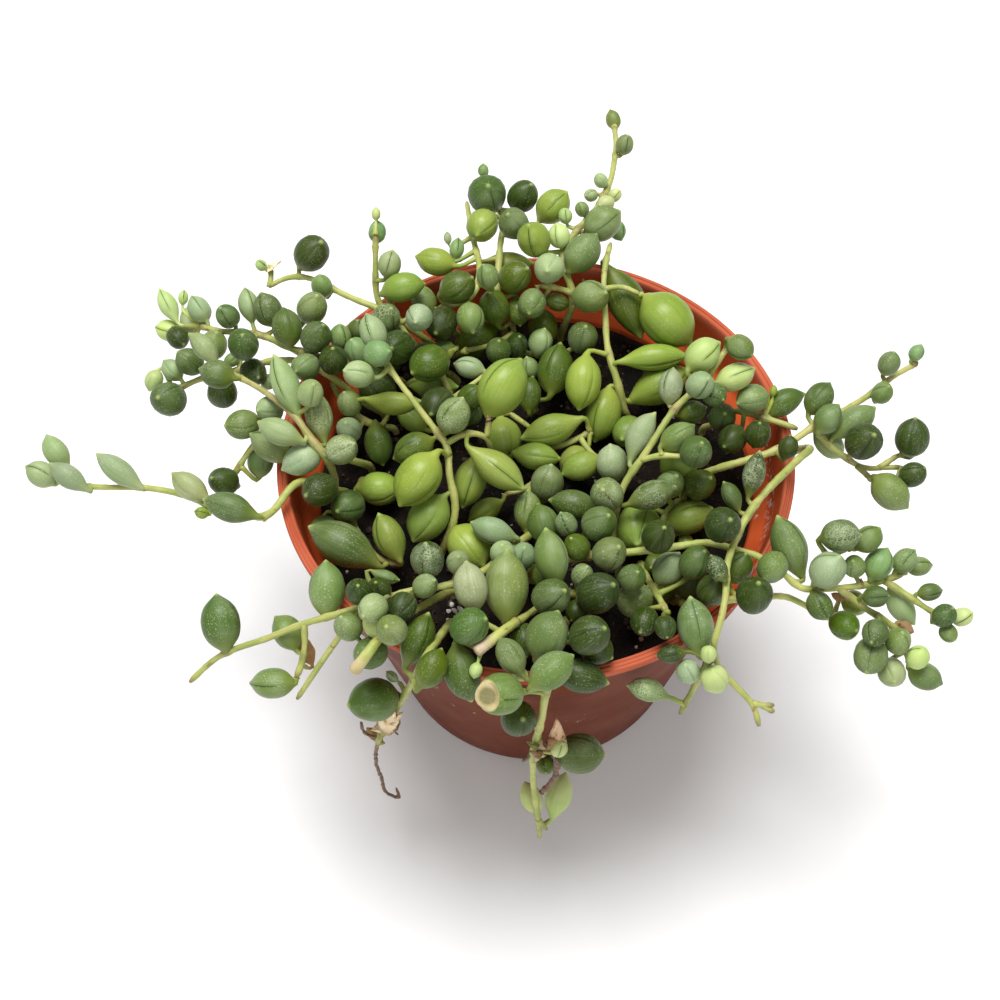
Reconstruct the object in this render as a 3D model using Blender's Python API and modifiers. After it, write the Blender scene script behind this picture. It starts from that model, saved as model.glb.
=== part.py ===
"""A potted string of watermelons: a nursery pot, its soil and the trailing stems with their leaves.

Lengths in the constants are millimetres, +Z is up and the origin is the middle of the pot's foot.
Each stem carries its leaves in one body. Its route and its leaves are read off the photograph, as
pixels that a pinhole view turns into places. Then every leaf slides a little along its line of
sight until no strand touches another.
"""

import math

import bmesh
import bpy
import numpy as np
from mathutils import Vector
from mathutils.noise import noise

MM = 0.001

# Sizes

RIM_RADIUS = 52.5
POT_HEIGHT = 79.0
BASE_RADIUS = 34.4
SOIL_TOP = 66.0
ROOT_DEPTH = 5.0
ROOT_RISE = 1.5
STEM_RADIUS = 0.95
STALK_RADIUS = 0.7
GAP = 0.5

# Viewpoint of the photograph

EYE = np.array([0.0, -166.53, 309.93])
LOOK_DOWN = math.radians(56.369)
FOCAL_PIXELS = 1400.0
IMAGE_MIDDLE = (536.0, 500.0)
RIGHT = np.array([1.0, 0.0, 0.0])
UP = np.array([0.0, math.sin(LOOK_DOWN), math.cos(LOOK_DOWN)])
AHEAD = np.array([0.0, math.cos(LOOK_DOWN), -math.sin(LOOK_DOWN)])


def ray(u, v):
    """Direction from the eye through a pixel, one unit deep."""
    across = (u - IMAGE_MIDDLE[0]) / FOCAL_PIXELS
    up = (IMAGE_MIDDLE[1] - v) / FOCAL_PIXELS
    return RIGHT * across + UP * up + AHEAD


def sight(u, v, height):
    """Point at a height above the table that shows at a pixel."""
    along = ray(u, v)
    return EYE + along * (height - EYE[2]) / along[2]


def depth_of(point):
    return float((point - EYE) @ AHEAD)


def pixel_of(points):
    away = points - EYE
    depth = away @ AHEAD
    u = IMAGE_MIDDLE[0] + FOCAL_PIXELS * (away @ RIGHT) / depth
    v = IMAGE_MIDDLE[1] - FOCAL_PIXELS * (away @ UP) / depth
    return np.stack([u, v], axis=-1)


# Strands: where each stem runs and where its leaves sit

# A route is a list of (u, v, height): a pixel of the photograph and the height above the table.
# The first route of a strand starts at the soil, and each further one grows from those before it.
# A leaf is (u, v, width, tip_u, tip_v): its middle, its width across and its tip, in pixels.

STRANDS = {
    "left_runner": (
        [[(350, 497, 66), (328, 487, 75), (308, 479, 81), (292, 483, 83), (278, 503, 82.5),
          (264, 516, 81), (236, 510, 79), (208, 503, 77), (176, 492, 75), (143, 487, 73),
          (110, 487, 71), (84, 486, 70), (60, 481, 69)]],
        [(40, 475, 26, 27, 466), (57, 450, 24, 46, 434), (73, 478, 23, 53, 464),
         (121, 472, 24, 97, 454), (191, 486, 26, 173, 473), (201, 513, 12, 195, 511),
         (232, 508, 30, 204, 499)]),
    "left_low_strand": (
        [[(372, 470, 66), (350, 460, 76), (322, 452, 80), (292, 444, 81.5), (266, 438, 80),
          (250, 448, 78), (239, 466, 76), (232, 476, 75)]],
        [(224, 482, 28, 214, 478), (256, 457, 27, 259, 438), (242, 422, 30, 226, 426),
         (268, 408, 25, 259, 411), (277, 451, 29, 256, 438)]),
    "left_crown": (
        [[(338, 524, 66), (335, 499, 74), (333, 472, 81), (322, 452, 86), (310, 440, 88),
          (298, 420, 90), (278, 402, 90), (258, 388, 89), (238, 377, 88), (226, 371, 87)]],
        [(219, 374, 29, 201, 369), (202, 349, 22, 188, 333), (287, 386, 28, 274, 354),
         (317, 415, 28, 311, 387), (282, 433, 27, 259, 423), (306, 469, 31, 286, 480),
         (341, 450, 30, 356, 444), (313, 396, 26, 318, 386), (319, 488, 33, 308, 495)]),
    "upper_left_strand": (
        [[(404, 386, 66), (380, 374, 76), (345, 362, 82), (312, 355, 83.5), (290, 348, 84),
          (265, 336, 83), (245, 332, 82), (217, 331, 80), (200, 325, 79)]],
        [(170, 306, 19, 161, 289), (184, 298, 10, 185, 290), (200, 310, 22, 192, 297),
         (191, 320, 22, 189, 304), (168, 329, 22, 154, 325), (179, 338, 22, 187, 346),
         (214, 345, 27, 220, 333), (228, 316, 23, 223, 309),
         (248, 305, 21, 244, 287), (268, 309, 29, 262, 293), (303, 310, 30, 312, 298),
         (292, 329, 30, 288, 309), (316, 338, 30, 326, 327), (332, 358, 28, 334, 349),
         (307, 367, 27, 300, 372), (251, 353, 30, 251, 345), (341, 336, 22, 342, 324),
         (352, 329, 20, 354, 321), (357, 352, 25, 352, 342)]),
    "upper_left_low_strand": (
        [[(386, 418, 66), (360, 400, 74), (332, 378, 80), (300, 362, 80), (268, 362, 79),
          (237, 371, 77.5), (206, 377, 76.5), (184, 386, 76), (174, 390, 75.5)]],
        [(172, 370, 20, 163, 360), (191, 361, 26, 182, 352), (154, 380, 18, 149, 391),
         (169, 400, 34, 163, 399),
         (253, 368, 26, 262, 376), (266, 380, 16, 261, 384), (233, 361, 14, 227, 366),
         (223, 391, 30, 226, 381)]),
    "top_left_runner": (
        [[(442, 356, 66), (424, 338, 76), (400, 320, 82), (380, 309, 83.5), (357, 300, 84),
          (339, 292, 84), (316, 280, 83), (296, 276, 82), (280, 280, 81), (269, 287, 80)],
         [(269, 287, 80), (272, 276, 81.5), (270, 267, 83)]],
        [(311, 256, 34, 324, 245), (324, 286, 21, 322, 276), (262, 265, 11, 259, 261),
         (275, 266, 8, 281, 261)]),
    "upright_shoot": (
        [[(418, 362, 66), (402, 338, 74), (386, 314, 80), (377, 298, 82.5), (376, 275, 87),
          (376, 252, 91), (376, 236, 94)]],
        [(376, 231, 18, 376, 219), (376, 214, 9, 376, 207), (386, 266, 23, 390, 253),
         (397, 372, 28, 392, 386)]),
    "back_left_shoot": (
        [[(458, 384, 66), (440, 366, 75), (420, 348, 80), (404, 330, 83), (396, 310, 85),
          (388, 294, 86)]],
        [(404, 289, 29, 426, 284), (417, 323, 27, 417, 330),
         (389, 322, 29, 395, 311), (406, 347, 34, 400, 352), (428, 350, 24, 437, 345)]),
    "centre_left_strand": (
        [[(440, 560, 66), (446, 541, 73), (454, 520, 77), (455, 500, 80), (449, 478, 83),
          (448, 460, 85), (447, 445, 86.5), (435, 430, 88), (416, 405, 91), (400, 384, 93),
          (389, 368, 94), (382, 358, 94.5)],
         [(447, 446, 86.5), (452, 440, 87.5), (462, 433, 88), (475, 433, 87.5), (487, 437, 85.5),
          (491, 452, 81)],
         [(487, 437, 85.5), (486, 427, 87), (489, 420, 88)]],
        [(372, 332, 27, 365, 313), (378, 354, 27, 391, 353), (361, 372, 27, 347, 369),
         (413, 450, 33, 393, 460), (421, 484, 44, 403, 510), (429, 520, 40, 413, 543),
         (467, 545, 42, 482, 564), (505, 387, 47, 522, 358), (497, 469, 34, 525, 490),
         (470, 482, 33, 462, 509), (455, 415, 33, 464, 398)]),
    "inner_left_strand": (
        [[(396, 432, 66), (382, 427, 71), (362, 420, 74), (344, 404, 76), (331, 382, 76)]],
        [(350, 403, 24, 346, 393), (351, 428, 25, 348, 422), (395, 398, 24, 424, 399),
         (377, 448, 28, 381, 470), (374, 389, 36, 362, 376)]),
    "inner_left_low_strand": (
        [[(364, 482, 66), (357, 492, 70), (351, 508, 72), (356, 530, 73), (380, 560, 74),
          (400, 563, 74)]],
        [(377, 490, 34, 398, 491), (347, 511, 32, 338, 516), (349, 543, 42, 314, 523),
         (392, 537, 31, 381, 513), (310, 533, 16, 305, 545), (329, 524, 28, 318, 524)]),
    "centre_back_strand": (
        [[(448, 428, 66), (452, 420, 71), (452, 400, 76), (446, 385, 79), (440, 368, 80),
          (450, 352, 80.5)],
         [(452, 400, 76), (470, 386, 78), (486, 374, 79)]],
        [(473, 414, 18, 478, 405), (471, 396, 25, 480, 386),
         (434, 384, 27, 459, 385), (413, 418, 26, 399, 406), (469, 368, 22, 453, 364),
         (430, 364, 36, 413, 374), (440, 344, 18, 428, 344), (437, 404, 34, 430, 416)]),
    "back_strand_left": (
        [[(464, 347, 66), (452, 328, 76), (437, 311, 82.5), (455, 304, 84.5), (472, 298, 86),
          (479, 284, 87), (481, 268, 87.5), (477, 250, 87), (472, 228, 86), (467, 202, 85)]],
        [(424, 299, 25, 416, 284), (459, 290, 32, 476, 282), (469, 317, 28, 472, 333),
         (490, 282, 22, 486, 272),
         (435, 261, 28, 415, 256), (456, 248, 15, 458, 237), (448, 238, 8, 447, 231),
         (441, 327, 32, 436, 340)]),
    "back_strand_middle": (
        [[(506, 340, 66), (501, 318, 76), (497, 296, 82), (498, 270, 85), (500, 244, 86.5),
          (503, 222, 86), (498, 208, 84.5), (489, 192, 83), (484, 180, 83)],
         [(502, 236, 86.5), (520, 238, 86), (538, 226, 85)]],
        [(483, 171, 11, 483, 164), (489, 197, 38, 491, 194), (522, 196, 30, 531, 187),
         (512, 226, 30, 506, 220), (483, 234, 31, 477, 247), (506, 256, 30, 532, 256),
         (518, 280, 31, 531, 273), (553, 206, 32, 567, 192), (511, 313, 24, 513, 328)]),
    "back_strand_right": (
        [[(560, 340, 66), (566, 322, 75), (573, 304, 81), (572, 287, 84), (565, 270, 86),
          (563, 251, 87.5), (574, 234, 88), (588, 218, 88), (600, 204, 88), (607, 190, 88),
          (612, 176, 88), (615, 156, 87), (616, 142, 87), (614, 127, 87)],
         [(572, 289, 84), (584, 293, 84.5)],
         [(572, 288, 84), (556, 287, 84.5), (538, 286, 84.5)]],
        [(566, 216, 14, 565, 209), (582, 209, 14, 579, 203),
         (602, 223, 34, 619, 213), (619, 230, 17, 622, 241), (605, 204, 16, 598, 208),
         (613, 196, 13, 618, 192), (591, 195, 13, 585, 197), (601, 181, 14, 597, 176),
         (624, 146, 18, 627, 138), (613, 119, 15, 610, 109), (559, 236, 22, 556, 225),
         (582, 253, 34, 596, 234), (548, 268, 30, 545, 275), (594, 297, 32, 610, 298),
         (535, 238, 33, 529, 229), (531, 300, 28, 527, 313), (557, 302, 18, 569, 305)]),
    "back_floor_strand": (
        [[(520, 372, 66), (522, 362, 71), (520, 350, 74), (515, 335, 76), (512, 320, 78)],
         [(520, 350, 74), (553, 356, 75), (574, 348, 77)],
         [(515, 335, 76), (495, 342, 76), (468, 348, 76)],
         [(521, 366, 69), (530, 388, 71), (535, 408, 71)]],
        [(538, 325, 31, 536, 305), (495, 306, 30, 491, 291), (478, 335, 33, 501, 319),
         (500, 350, 25, 501, 342), (519, 346, 22, 522, 338), (542, 346, 24, 546, 333),
         (583, 337, 30, 585, 328), (554, 367, 36, 559, 341), (529, 368, 20, 527, 356),
         (535, 394, 24, 537, 376)]),
    "back_right_strand": (
        [[(628, 422, 66), (624, 410, 71), (617, 381, 77), (607, 348, 81), (605, 318, 84),
          (603, 290, 86), (604, 268, 87.5), (607, 254, 88),
          (610, 243, 88)],
         [(603, 290, 86), (620, 286, 85.5), (640, 296, 84)]],
        [(582, 388, 36, 578, 416), (604, 413, 36, 596, 441), (624, 299, 40, 643, 337),
         (666, 322, 50, 689, 346), (654, 361, 27, 689, 358), (660, 383, 38, 690, 367),
         (629, 433, 31, 619, 441)]),
    "right_crown": (
        [[(614, 553, 66), (615, 540, 71), (615, 512, 77), (620, 496, 80), (627, 480, 82),
          (643, 458, 85), (661, 430, 88), (676, 408, 90), (690, 395, 92), (705, 382, 93),
          (714, 370, 94), (722, 358, 95), (729, 347, 95)],
         [(643, 458, 85), (662, 455, 86.5), (684, 457, 87)]],
        [(646, 437, 28, 659, 412), (677, 437, 28, 694, 426), (697, 450, 32, 700, 443),
         (692, 408, 24, 707, 404), (674, 387, 25, 676, 368), (701, 386, 27, 708, 381),
         (715, 394, 24, 722, 400), (705, 357, 32, 721, 343), (736, 374, 28, 756, 366),
         (739, 352, 25, 750, 361), (608, 495, 33, 602, 490), (652, 494, 29, 676, 485),
         (574, 506, 30, 548, 500)]),
    "right_inner_strand": (
        [[(702, 432, 66), (715, 424, 73), (728, 413, 79), (742, 411, 83), (763, 418, 85),
          (785, 424, 85.5), (798, 429, 85)]],
        [(751, 399, 29, 735, 404), (788, 405, 27, 809, 393), (727, 416, 27, 728, 412),
         (755, 436, 26, 756, 425), (732, 437, 28, 722, 446), (774, 391, 8, 775, 385)]),
    "right_upper_runner": (
        [[(668, 488, 66), (692, 478, 74), (718, 468, 80), (743, 461, 83), (776, 450, 85),
          (797, 438, 86), (812, 427, 86.5), (837, 414, 86), (870, 394, 85), (893, 376, 84),
          (916, 363, 83)],
         [(812, 428, 86.5), (828, 444, 85), (845, 456, 83.5), (865, 469, 82), (886, 468, 81.5),
          (904, 468, 81)],
         [(886, 468, 81.5), (900, 454, 82)],
         [(862, 467, 82), (872, 479, 81.5)]],
        [(821, 399, 28, 832, 383), (826, 418, 27, 836, 404), (855, 422, 29, 876, 407),
         (889, 363, 22, 893, 352), (916, 353, 15, 921, 345), (882, 394, 21, 886, 387),
         (826, 446, 26, 840, 460), (862, 442, 36, 868, 435), (787, 447, 20, 789, 435),
         (912, 437, 34, 912, 418), (912, 474, 25, 923, 468), (891, 492, 34, 908, 508)]),
    "right_crossing_strand": (
        [[(775, 462, 66), (800, 449, 76), (811, 449, 84), (800, 458, 88), (789, 469, 89),
          (763, 495, 89), (745, 520, 89), (733, 546, 89), (726, 568, 89), (726, 592, 88),
          (720, 622, 86), (713, 645, 83), (716, 662, 78), (724, 673, 74), (738, 689, 71),
          (753, 704, 69), (759, 726, 66)],
         [(753, 704, 69), (764, 706, 68.5), (774, 705, 69)],
         [(764, 706, 68.5), (774, 712, 68)],
         [(714, 648, 83), (702, 672, 76), (690, 695, 71), (680, 714, 67)]],
        [(754, 474, 23, 760, 450), (731, 496, 19, 723, 481), (724, 524, 36, 728, 519),
         (719, 569, 20, 712, 556), (693, 627, 37, 688, 597), (707, 652, 16, 706, 644),
         (687, 668, 24, 683, 660), (710, 671, 27, 706, 661), (647, 691, 24, 626, 685),
         (674, 653, 19, 659, 655)]),
    "right_middle_strand": (
        [[(532, 580, 66), (532, 570, 74), (556, 562, 80), (590, 556, 83), (628, 553, 84.5),
          (652, 550, 85), (677, 547, 85.5), (710, 543, 85.5), (738, 551, 85), (756, 555, 84.5),
          (776, 568, 84), (792, 580, 83), (799, 590, 82.5), (815, 589, 82), (842, 588, 81),
          (876, 583, 80), (904, 573, 79)],
         [(885, 581, 79.5), (900, 590, 79), (915, 600, 78), (930, 611, 77), (944, 617, 76)],
         [(815, 589, 82), (818, 572, 84), (830, 556, 85), (850, 548, 85.5)],
         [(840, 588, 81), (855, 600, 79.5), (870, 612, 78), (890, 623, 76), (904, 638, 74),
          (910, 652, 72.5), (914, 665, 71)]],
        [(543, 523, 32, 538, 503), (568, 523, 22, 562, 512),
         (593, 529, 34, 604, 520), (610, 556, 33, 619, 548), (627, 574, 27, 634, 568),
         (659, 538, 33, 663, 527), (770, 568, 30, 760, 580), (790, 548, 36, 777, 516),
         (841, 538, 33, 860, 536), (868, 538, 26, 879, 527), (826, 569, 35, 836, 555),
         (854, 568, 22, 850, 560), (879, 564, 28, 888, 548), (905, 560, 23, 914, 549),
         (920, 566, 20, 934, 565), (820, 606, 26, 826, 619), (875, 597, 22, 887, 596),
         (907, 605, 26, 920, 625), (930, 592, 18, 943, 590), (942, 615, 23, 949, 607),
         (963, 617, 19, 971, 612), (949, 633, 18, 952, 640), (869, 633, 26, 862, 641),
         (896, 640, 26, 897, 631), (873, 658, 34, 866, 672), (914, 657, 23, 918, 648),
         (544, 576, 26, 540, 588), (578, 546, 26, 571, 536),
         (893, 671, 28, 892, 679), (926, 675, 28, 943, 683), (842, 597, 11, 835, 593),
         (906, 629, 12, 913, 634)]),
    "right_low_strand": (
        [[(674, 602, 66), (690, 606, 74), (710, 603, 80), (730, 600, 83), (750, 597, 83),
          (768, 597, 81.5), (789, 597, 79), (809, 607, 77), (835, 620, 75)]],
        [(750, 589, 36, 753, 577), (861, 605, 25, 866, 612), (850, 625, 29, 858, 630),
         (669, 599, 24, 684, 592), (739, 567, 30, 746, 552), (710, 586, 30, 714, 574),
         (689, 582, 32, 694, 566)]),
    "right_front_strand": (
        [[(640, 566, 66), (647, 578, 73), (655, 590, 78), (661, 602, 81), (667, 613, 83)]],
        [(674, 570, 31, 685, 554), (632, 599, 36, 639, 594), (667, 626, 22, 668, 636),
         (697, 566, 32, 705, 552), (647, 569, 22, 640, 574), (645, 622, 28, 640, 632)]),
    "right_floor_strand": (
        [[(668, 545, 66), (662, 530, 71), (668, 510, 73), (684, 500, 74)]],
        [(641, 528, 44, 634, 546), (688, 515, 34, 711, 506), (685, 538, 15, 690, 546),
         (671, 481, 27, 678, 474), (679, 467, 38, 680, 450), (695, 487, 30, 706, 480)]),
    "centre_floor_strand": (
        [[(545, 442, 66), (552, 448, 70), (575, 440, 72), (590, 432, 73)],
         [(548, 446, 68), (541, 465, 71), (530, 487, 72), (505, 494, 72)],
         [(575, 440, 72), (592, 455, 72), (616, 470, 72)],
         [(552, 448, 70), (532, 430, 72), (508, 414, 74)]],
        [(551, 428, 32, 520, 438), (508, 437, 36, 512, 460), (537, 457, 28, 561, 460),
         (579, 447, 26, 566, 458), (582, 465, 29, 563, 473), (547, 482, 33, 551, 464),
         (607, 463, 31, 606, 444), (629, 465, 20, 633, 457), (485, 511, 24, 468, 521)]),
    "front_left_runner": (
        [[(548, 526, 66), (531, 534, 73), (512, 548, 79), (487, 569, 83), (454, 584, 85),
          (416, 590, 85), (385, 599, 84), (361, 607, 83.5), (330, 616, 82), (296, 626, 80),
          (268, 638, 77), (240, 647, 75), (219, 656, 73), (203, 669, 71), (190, 682, 69)],
         [(361, 607, 83.5), (349, 622, 81.5), (338, 638, 79), (320, 664, 75), (297, 699, 70)],
         [(300, 626, 80), (305, 642, 77), (303, 660, 74), (296, 678, 72)]],
        [(222, 623, 39, 217, 594), (283, 635, 30, 272, 618), (325, 591, 37, 325, 562),
         (272, 683, 31, 249, 683), (301, 652, 17, 297, 638), (362, 591, 26, 365, 583),
         (378, 592, 24, 375, 583),
         (385, 576, 14, 400, 581), (420, 592, 24, 430, 585), (427, 562, 34, 426, 547),
         (458, 566, 24, 460, 558), (492, 531, 27, 469, 523),
         (505, 556, 26, 503, 546), (520, 558, 26, 522, 548), (527, 510, 28, 528, 489),
         (410, 606, 28, 404, 616), (378, 613, 28, 370, 620)]),
    "front_left_stub": (
        [[(462, 602, 66), (451, 592, 75), (433, 600, 80), (413, 612, 82.5), (395, 622, 82.5),
          (381, 631, 81.5), (370, 646, 79), (357, 669, 75)]],
        [(349, 625, 28, 343, 614), (380, 623, 26, 388, 630), (403, 626, 30, 399, 620),
         (370, 652, 32, 358, 658), (383, 628, 9, 385, 624)]),
    "front_left_hanging": (
        [[(452, 625, 66), (444, 628, 75), (432, 642, 81), (422, 656, 82.5), (414, 673, 79),
          (404, 692, 68), (393, 712, 58), (384, 729, 49), (377, 743, 43), (379, 760, 34),
          (383, 780, 23), (398, 797, 15)]],
        [(428, 648, 33, 440, 621), (439, 662, 30, 450, 643), (375, 695, 44, 352, 698),
         (388, 719, 19, 378, 708),
         (374, 737, 15, 366, 730), (389, 682, 10, 383, 677)]),
    "front_centre_strand": (
        [[(562, 588, 66), (550, 600, 74), (535, 610, 79), (520, 620, 81.5), (506, 629, 82),
          (494, 638, 81.5), (479, 651, 80)]],
        [(473, 584, 34, 468, 559), (510, 588, 45, 510, 550), (472, 631, 36, 487, 621),
         (473, 666, 13, 471, 674), (466, 672, 36, 474, 701), (519, 634, 30, 522, 650)]),
    "front_middle_strand": (
        [[(612, 596, 66), (603, 600, 73), (588, 598, 78), (570, 592, 81.5), (558, 600, 83.5),
          (552, 615, 84.5), (550, 632, 84), (548, 648, 83.5)]],
        [(556, 556, 34, 550, 526), (549, 600, 37, 562, 593), (549, 635, 42, 560, 611),
         (596, 588, 40, 611, 579), (577, 611, 22, 571, 620), (589, 634, 39, 602, 625),
         (584, 574, 22, 589, 565), (596, 650, 32, 612, 660)]),
    "front_hanging": (
        [[(566, 622, 66), (562, 638, 75), (556, 654, 81.5), (550, 669, 83.5), (547, 684, 82.5),
          (544, 700, 77), (541, 719, 69.5), (536, 740, 60.5), (533, 753, 55), (533, 780, 42),
          (535, 800, 31), (538, 820, 20), (540, 837, 9)],
         [(539, 817, 22), (546, 829, 15)]],
        [(551, 664, 35, 572, 648), (513, 656, 28, 502, 638), (579, 673, 34, 609, 681),
         (519, 675, 14, 511, 670), (503, 687, 42, 483, 687), (520, 719, 36, 524, 716),
         (580, 756, 41, 604, 754), (560, 747, 18, 563, 741), (556, 734, 20, 553, 722),
         (544, 765, 18, 546, 772), (532, 800, 22, 525, 784),
         (559, 795, 27, 566, 772)]),
}


# Room that each strand needs

SAMPLE_STEP = 2.4
ROUNDS = 420
LIST_EVERY = 10
NEAR = 3.0
STEM, FOOT, BODY, STALK = range(4)
LEAF_BALLS = ((0.2, 0.74), (0.42, 1.0), (0.64, 0.92), (0.84, 0.6))
STALK_BALLS = (0.25, 0.5, 0.75, 1.0)
SHORTEST_LEAF = 1.28
SIDEWAYS = 0.3
SOIL_RADIUS = 46.0
SOIL_CLEARANCE = 1.2
FOOT_SHARE = 0.7
OWN_GAP = 0.1
TABLE_GAP = 0.6
DEPTH_SHARE = 0.6
PUSH = 0.55
WALL_PUSH = 1.4
STEM_GIVE = 0.8
RETURN = 0.998

# Inner wall, collar, lip and outer wall of the pot as (radius, height, half thickness)

WALL = [(51.4, 78.0, 1.3), (50.6, 76.0, 0.9), (50.1, 73.5, 0.9), (49.6, 71.0, 0.9), (49.2, 68.8, 0.9),
        (48.0, 67.3, 1.0), (46.6, 66.4, 0.9)]
WALL += [(34.2 + 12.3 * k / 16, 1.0 + 65.0 * k / 16, 0.9) for k in range(16)]


def smooth_route(points, step):
    """Evenly spaced points along a smooth curve through the given ones."""
    points = np.asarray(points, float)
    before = 2 * points[0] - points[1]
    after = 2 * points[-1] - points[-2]
    padded = np.vstack([before, points, after])
    fine = []
    for i in range(len(points) - 1):
        a, b, c, d = padded[i:i + 4]
        for t in np.linspace(0.0, 1.0, 12, endpoint=False):
            fine.append(0.5 * (2 * b + (c - a) * t + (2 * a - 5 * b + 4 * c - d) * t ** 2
                               + (3 * b - a - 3 * c + d) * t ** 3))
    fine.append(points[-1])
    fine = np.array(fine)
    run = np.concatenate([[0.0], np.cumsum(np.linalg.norm(np.diff(fine, axis=0), axis=1))])
    count = max(2, int(round(run[-1] / step)) + 1)
    places = np.linspace(0.0, run[-1], count)
    return np.stack([np.interp(places, run, fine[:, k]) for k in range(3)], axis=1)


def draw_stems(routes):
    """Sampled routes of one strand, its root standing straight in the soil."""
    stems = []
    for number, route in enumerate(routes):
        points = [sight(u, v, height) for u, v, height in route]
        if number == 0:
            x, y = points[0][:2]
            points[0] = np.array([x, y, SOIL_TOP + ROOT_RISE])
            root = [[x, y, SOIL_TOP - ROOT_DEPTH], [x, y, SOIL_TOP - 0.4 * ROOT_DEPTH]]
            stems.append(np.vstack([root, smooth_route(points, SAMPLE_STEP)]))
        else:
            known = np.vstack(stems)
            points[0] = known[np.argmin(np.linalg.norm(known - points[0], axis=1))]
            stems.append(smooth_route(points, SAMPLE_STEP))
    return stems


def place_leaf(entry, samples, first):
    """One leaf, its foot at the nearest point of the stem as the photograph shows it."""
    u, v, width, tip_u, tip_v = entry
    foot = np.array([2.0 * u - tip_u, 2.0 * v - tip_v])
    away = np.linalg.norm(pixel_of(samples) - foot, axis=1)
    buried = (samples[:, 2] < SOIL_TOP + 1.0) & (np.hypot(samples[:, 0], samples[:, 1]) < SOIL_RADIUS)
    away[buried] = 1e9
    seat = int(np.argmin(away))
    depth = depth_of(samples[seat])
    scale = depth / FOCAL_PIXELS
    radius = 0.5 * width * scale
    lean = np.array([tip_u - u, v - tip_v]) * scale
    half = max(SHORTEST_LEAF * radius, float(np.hypot(*lean)))
    forward = math.sqrt(max(half ** 2 - float(lean @ lean), 0.0))
    axis = (RIGHT * lean[0] + UP * lean[1] - AHEAD * forward) / half
    middle = EYE + ray(u, v) * (depth - forward)
    return {"seat": first + seat, "radius": radius, "half": half, "axis": axis, "middle": middle}


def may_touch(owners, kinds, strands):
    """Which pairs of balls have to keep apart, wherever they are."""
    pairs = np.triu(owners[:, None] != owners[None], 1)
    same = strands[:, None] == strands[None]
    stem = kinds == STEM
    stalk = kinds == STALK
    pairs &= ~(same & stem[:, None] & stem[None])
    pairs &= ~(same & (stalk[:, None] | stalk[None]))
    return pairs


def near_pairs(balls, sizes, kinds, strands, pairs):
    """Pairs of balls close enough to meet soon, with the distance that each pair keeps."""
    square = (balls ** 2).sum(axis=1)
    gap = square[:, None] + square[None] - 2.0 * balls @ balls.T
    reach = sizes[:, None] + sizes[None] + NEAR
    first, second = np.nonzero(pairs & (gap < reach ** 2))
    alike = strands[first] == strands[second]
    with_stem = (kinds[first] == STEM) | (kinds[second] == STEM)
    with_foot = (kinds[first] == FOOT) | (kinds[second] == FOOT)
    keep = sizes[first] + sizes[second]
    own = np.where(with_stem, keep * np.where(with_foot, FOOT_SHARE, 1.0), keep + OWN_GAP)
    return first, second, np.where(alike, own, keep + GAP)


def pot_push(balls, sizes):
    """How far each ball has to move to clear the soil, the pot and the table."""
    move = np.zeros_like(balls)
    ring = np.hypot(balls[:, 0], balls[:, 1])
    low = SOIL_TOP + SOIL_CLEARANCE + sizes - balls[:, 2]
    inside = (ring < SOIL_RADIUS + 1.0) & (balls[:, 2] > SOIL_TOP - 8.0) & (low > 0)
    move[inside] -= np.outer(low[inside] / -AHEAD[2], AHEAD)
    under = TABLE_GAP + sizes - balls[:, 2]
    move[under > 0, 2] += under[under > 0]
    out = np.stack([balls[:, 0], balls[:, 1]], axis=1) / np.maximum(ring, 1e-6)[:, None]
    for radius, height, half in WALL:
        across = ring - radius
        over = balls[:, 2] - height
        gap = np.hypot(across, over)
        short = half + GAP + sizes - gap
        hit = short > 0
        strength = short[hit] / np.maximum(gap[hit], 1e-6) * 0.5
        move[hit, :2] += out[hit] * (across[hit] * strength)[:, None]
        move[hit, 2] += over[hit] * strength
    return move


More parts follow.
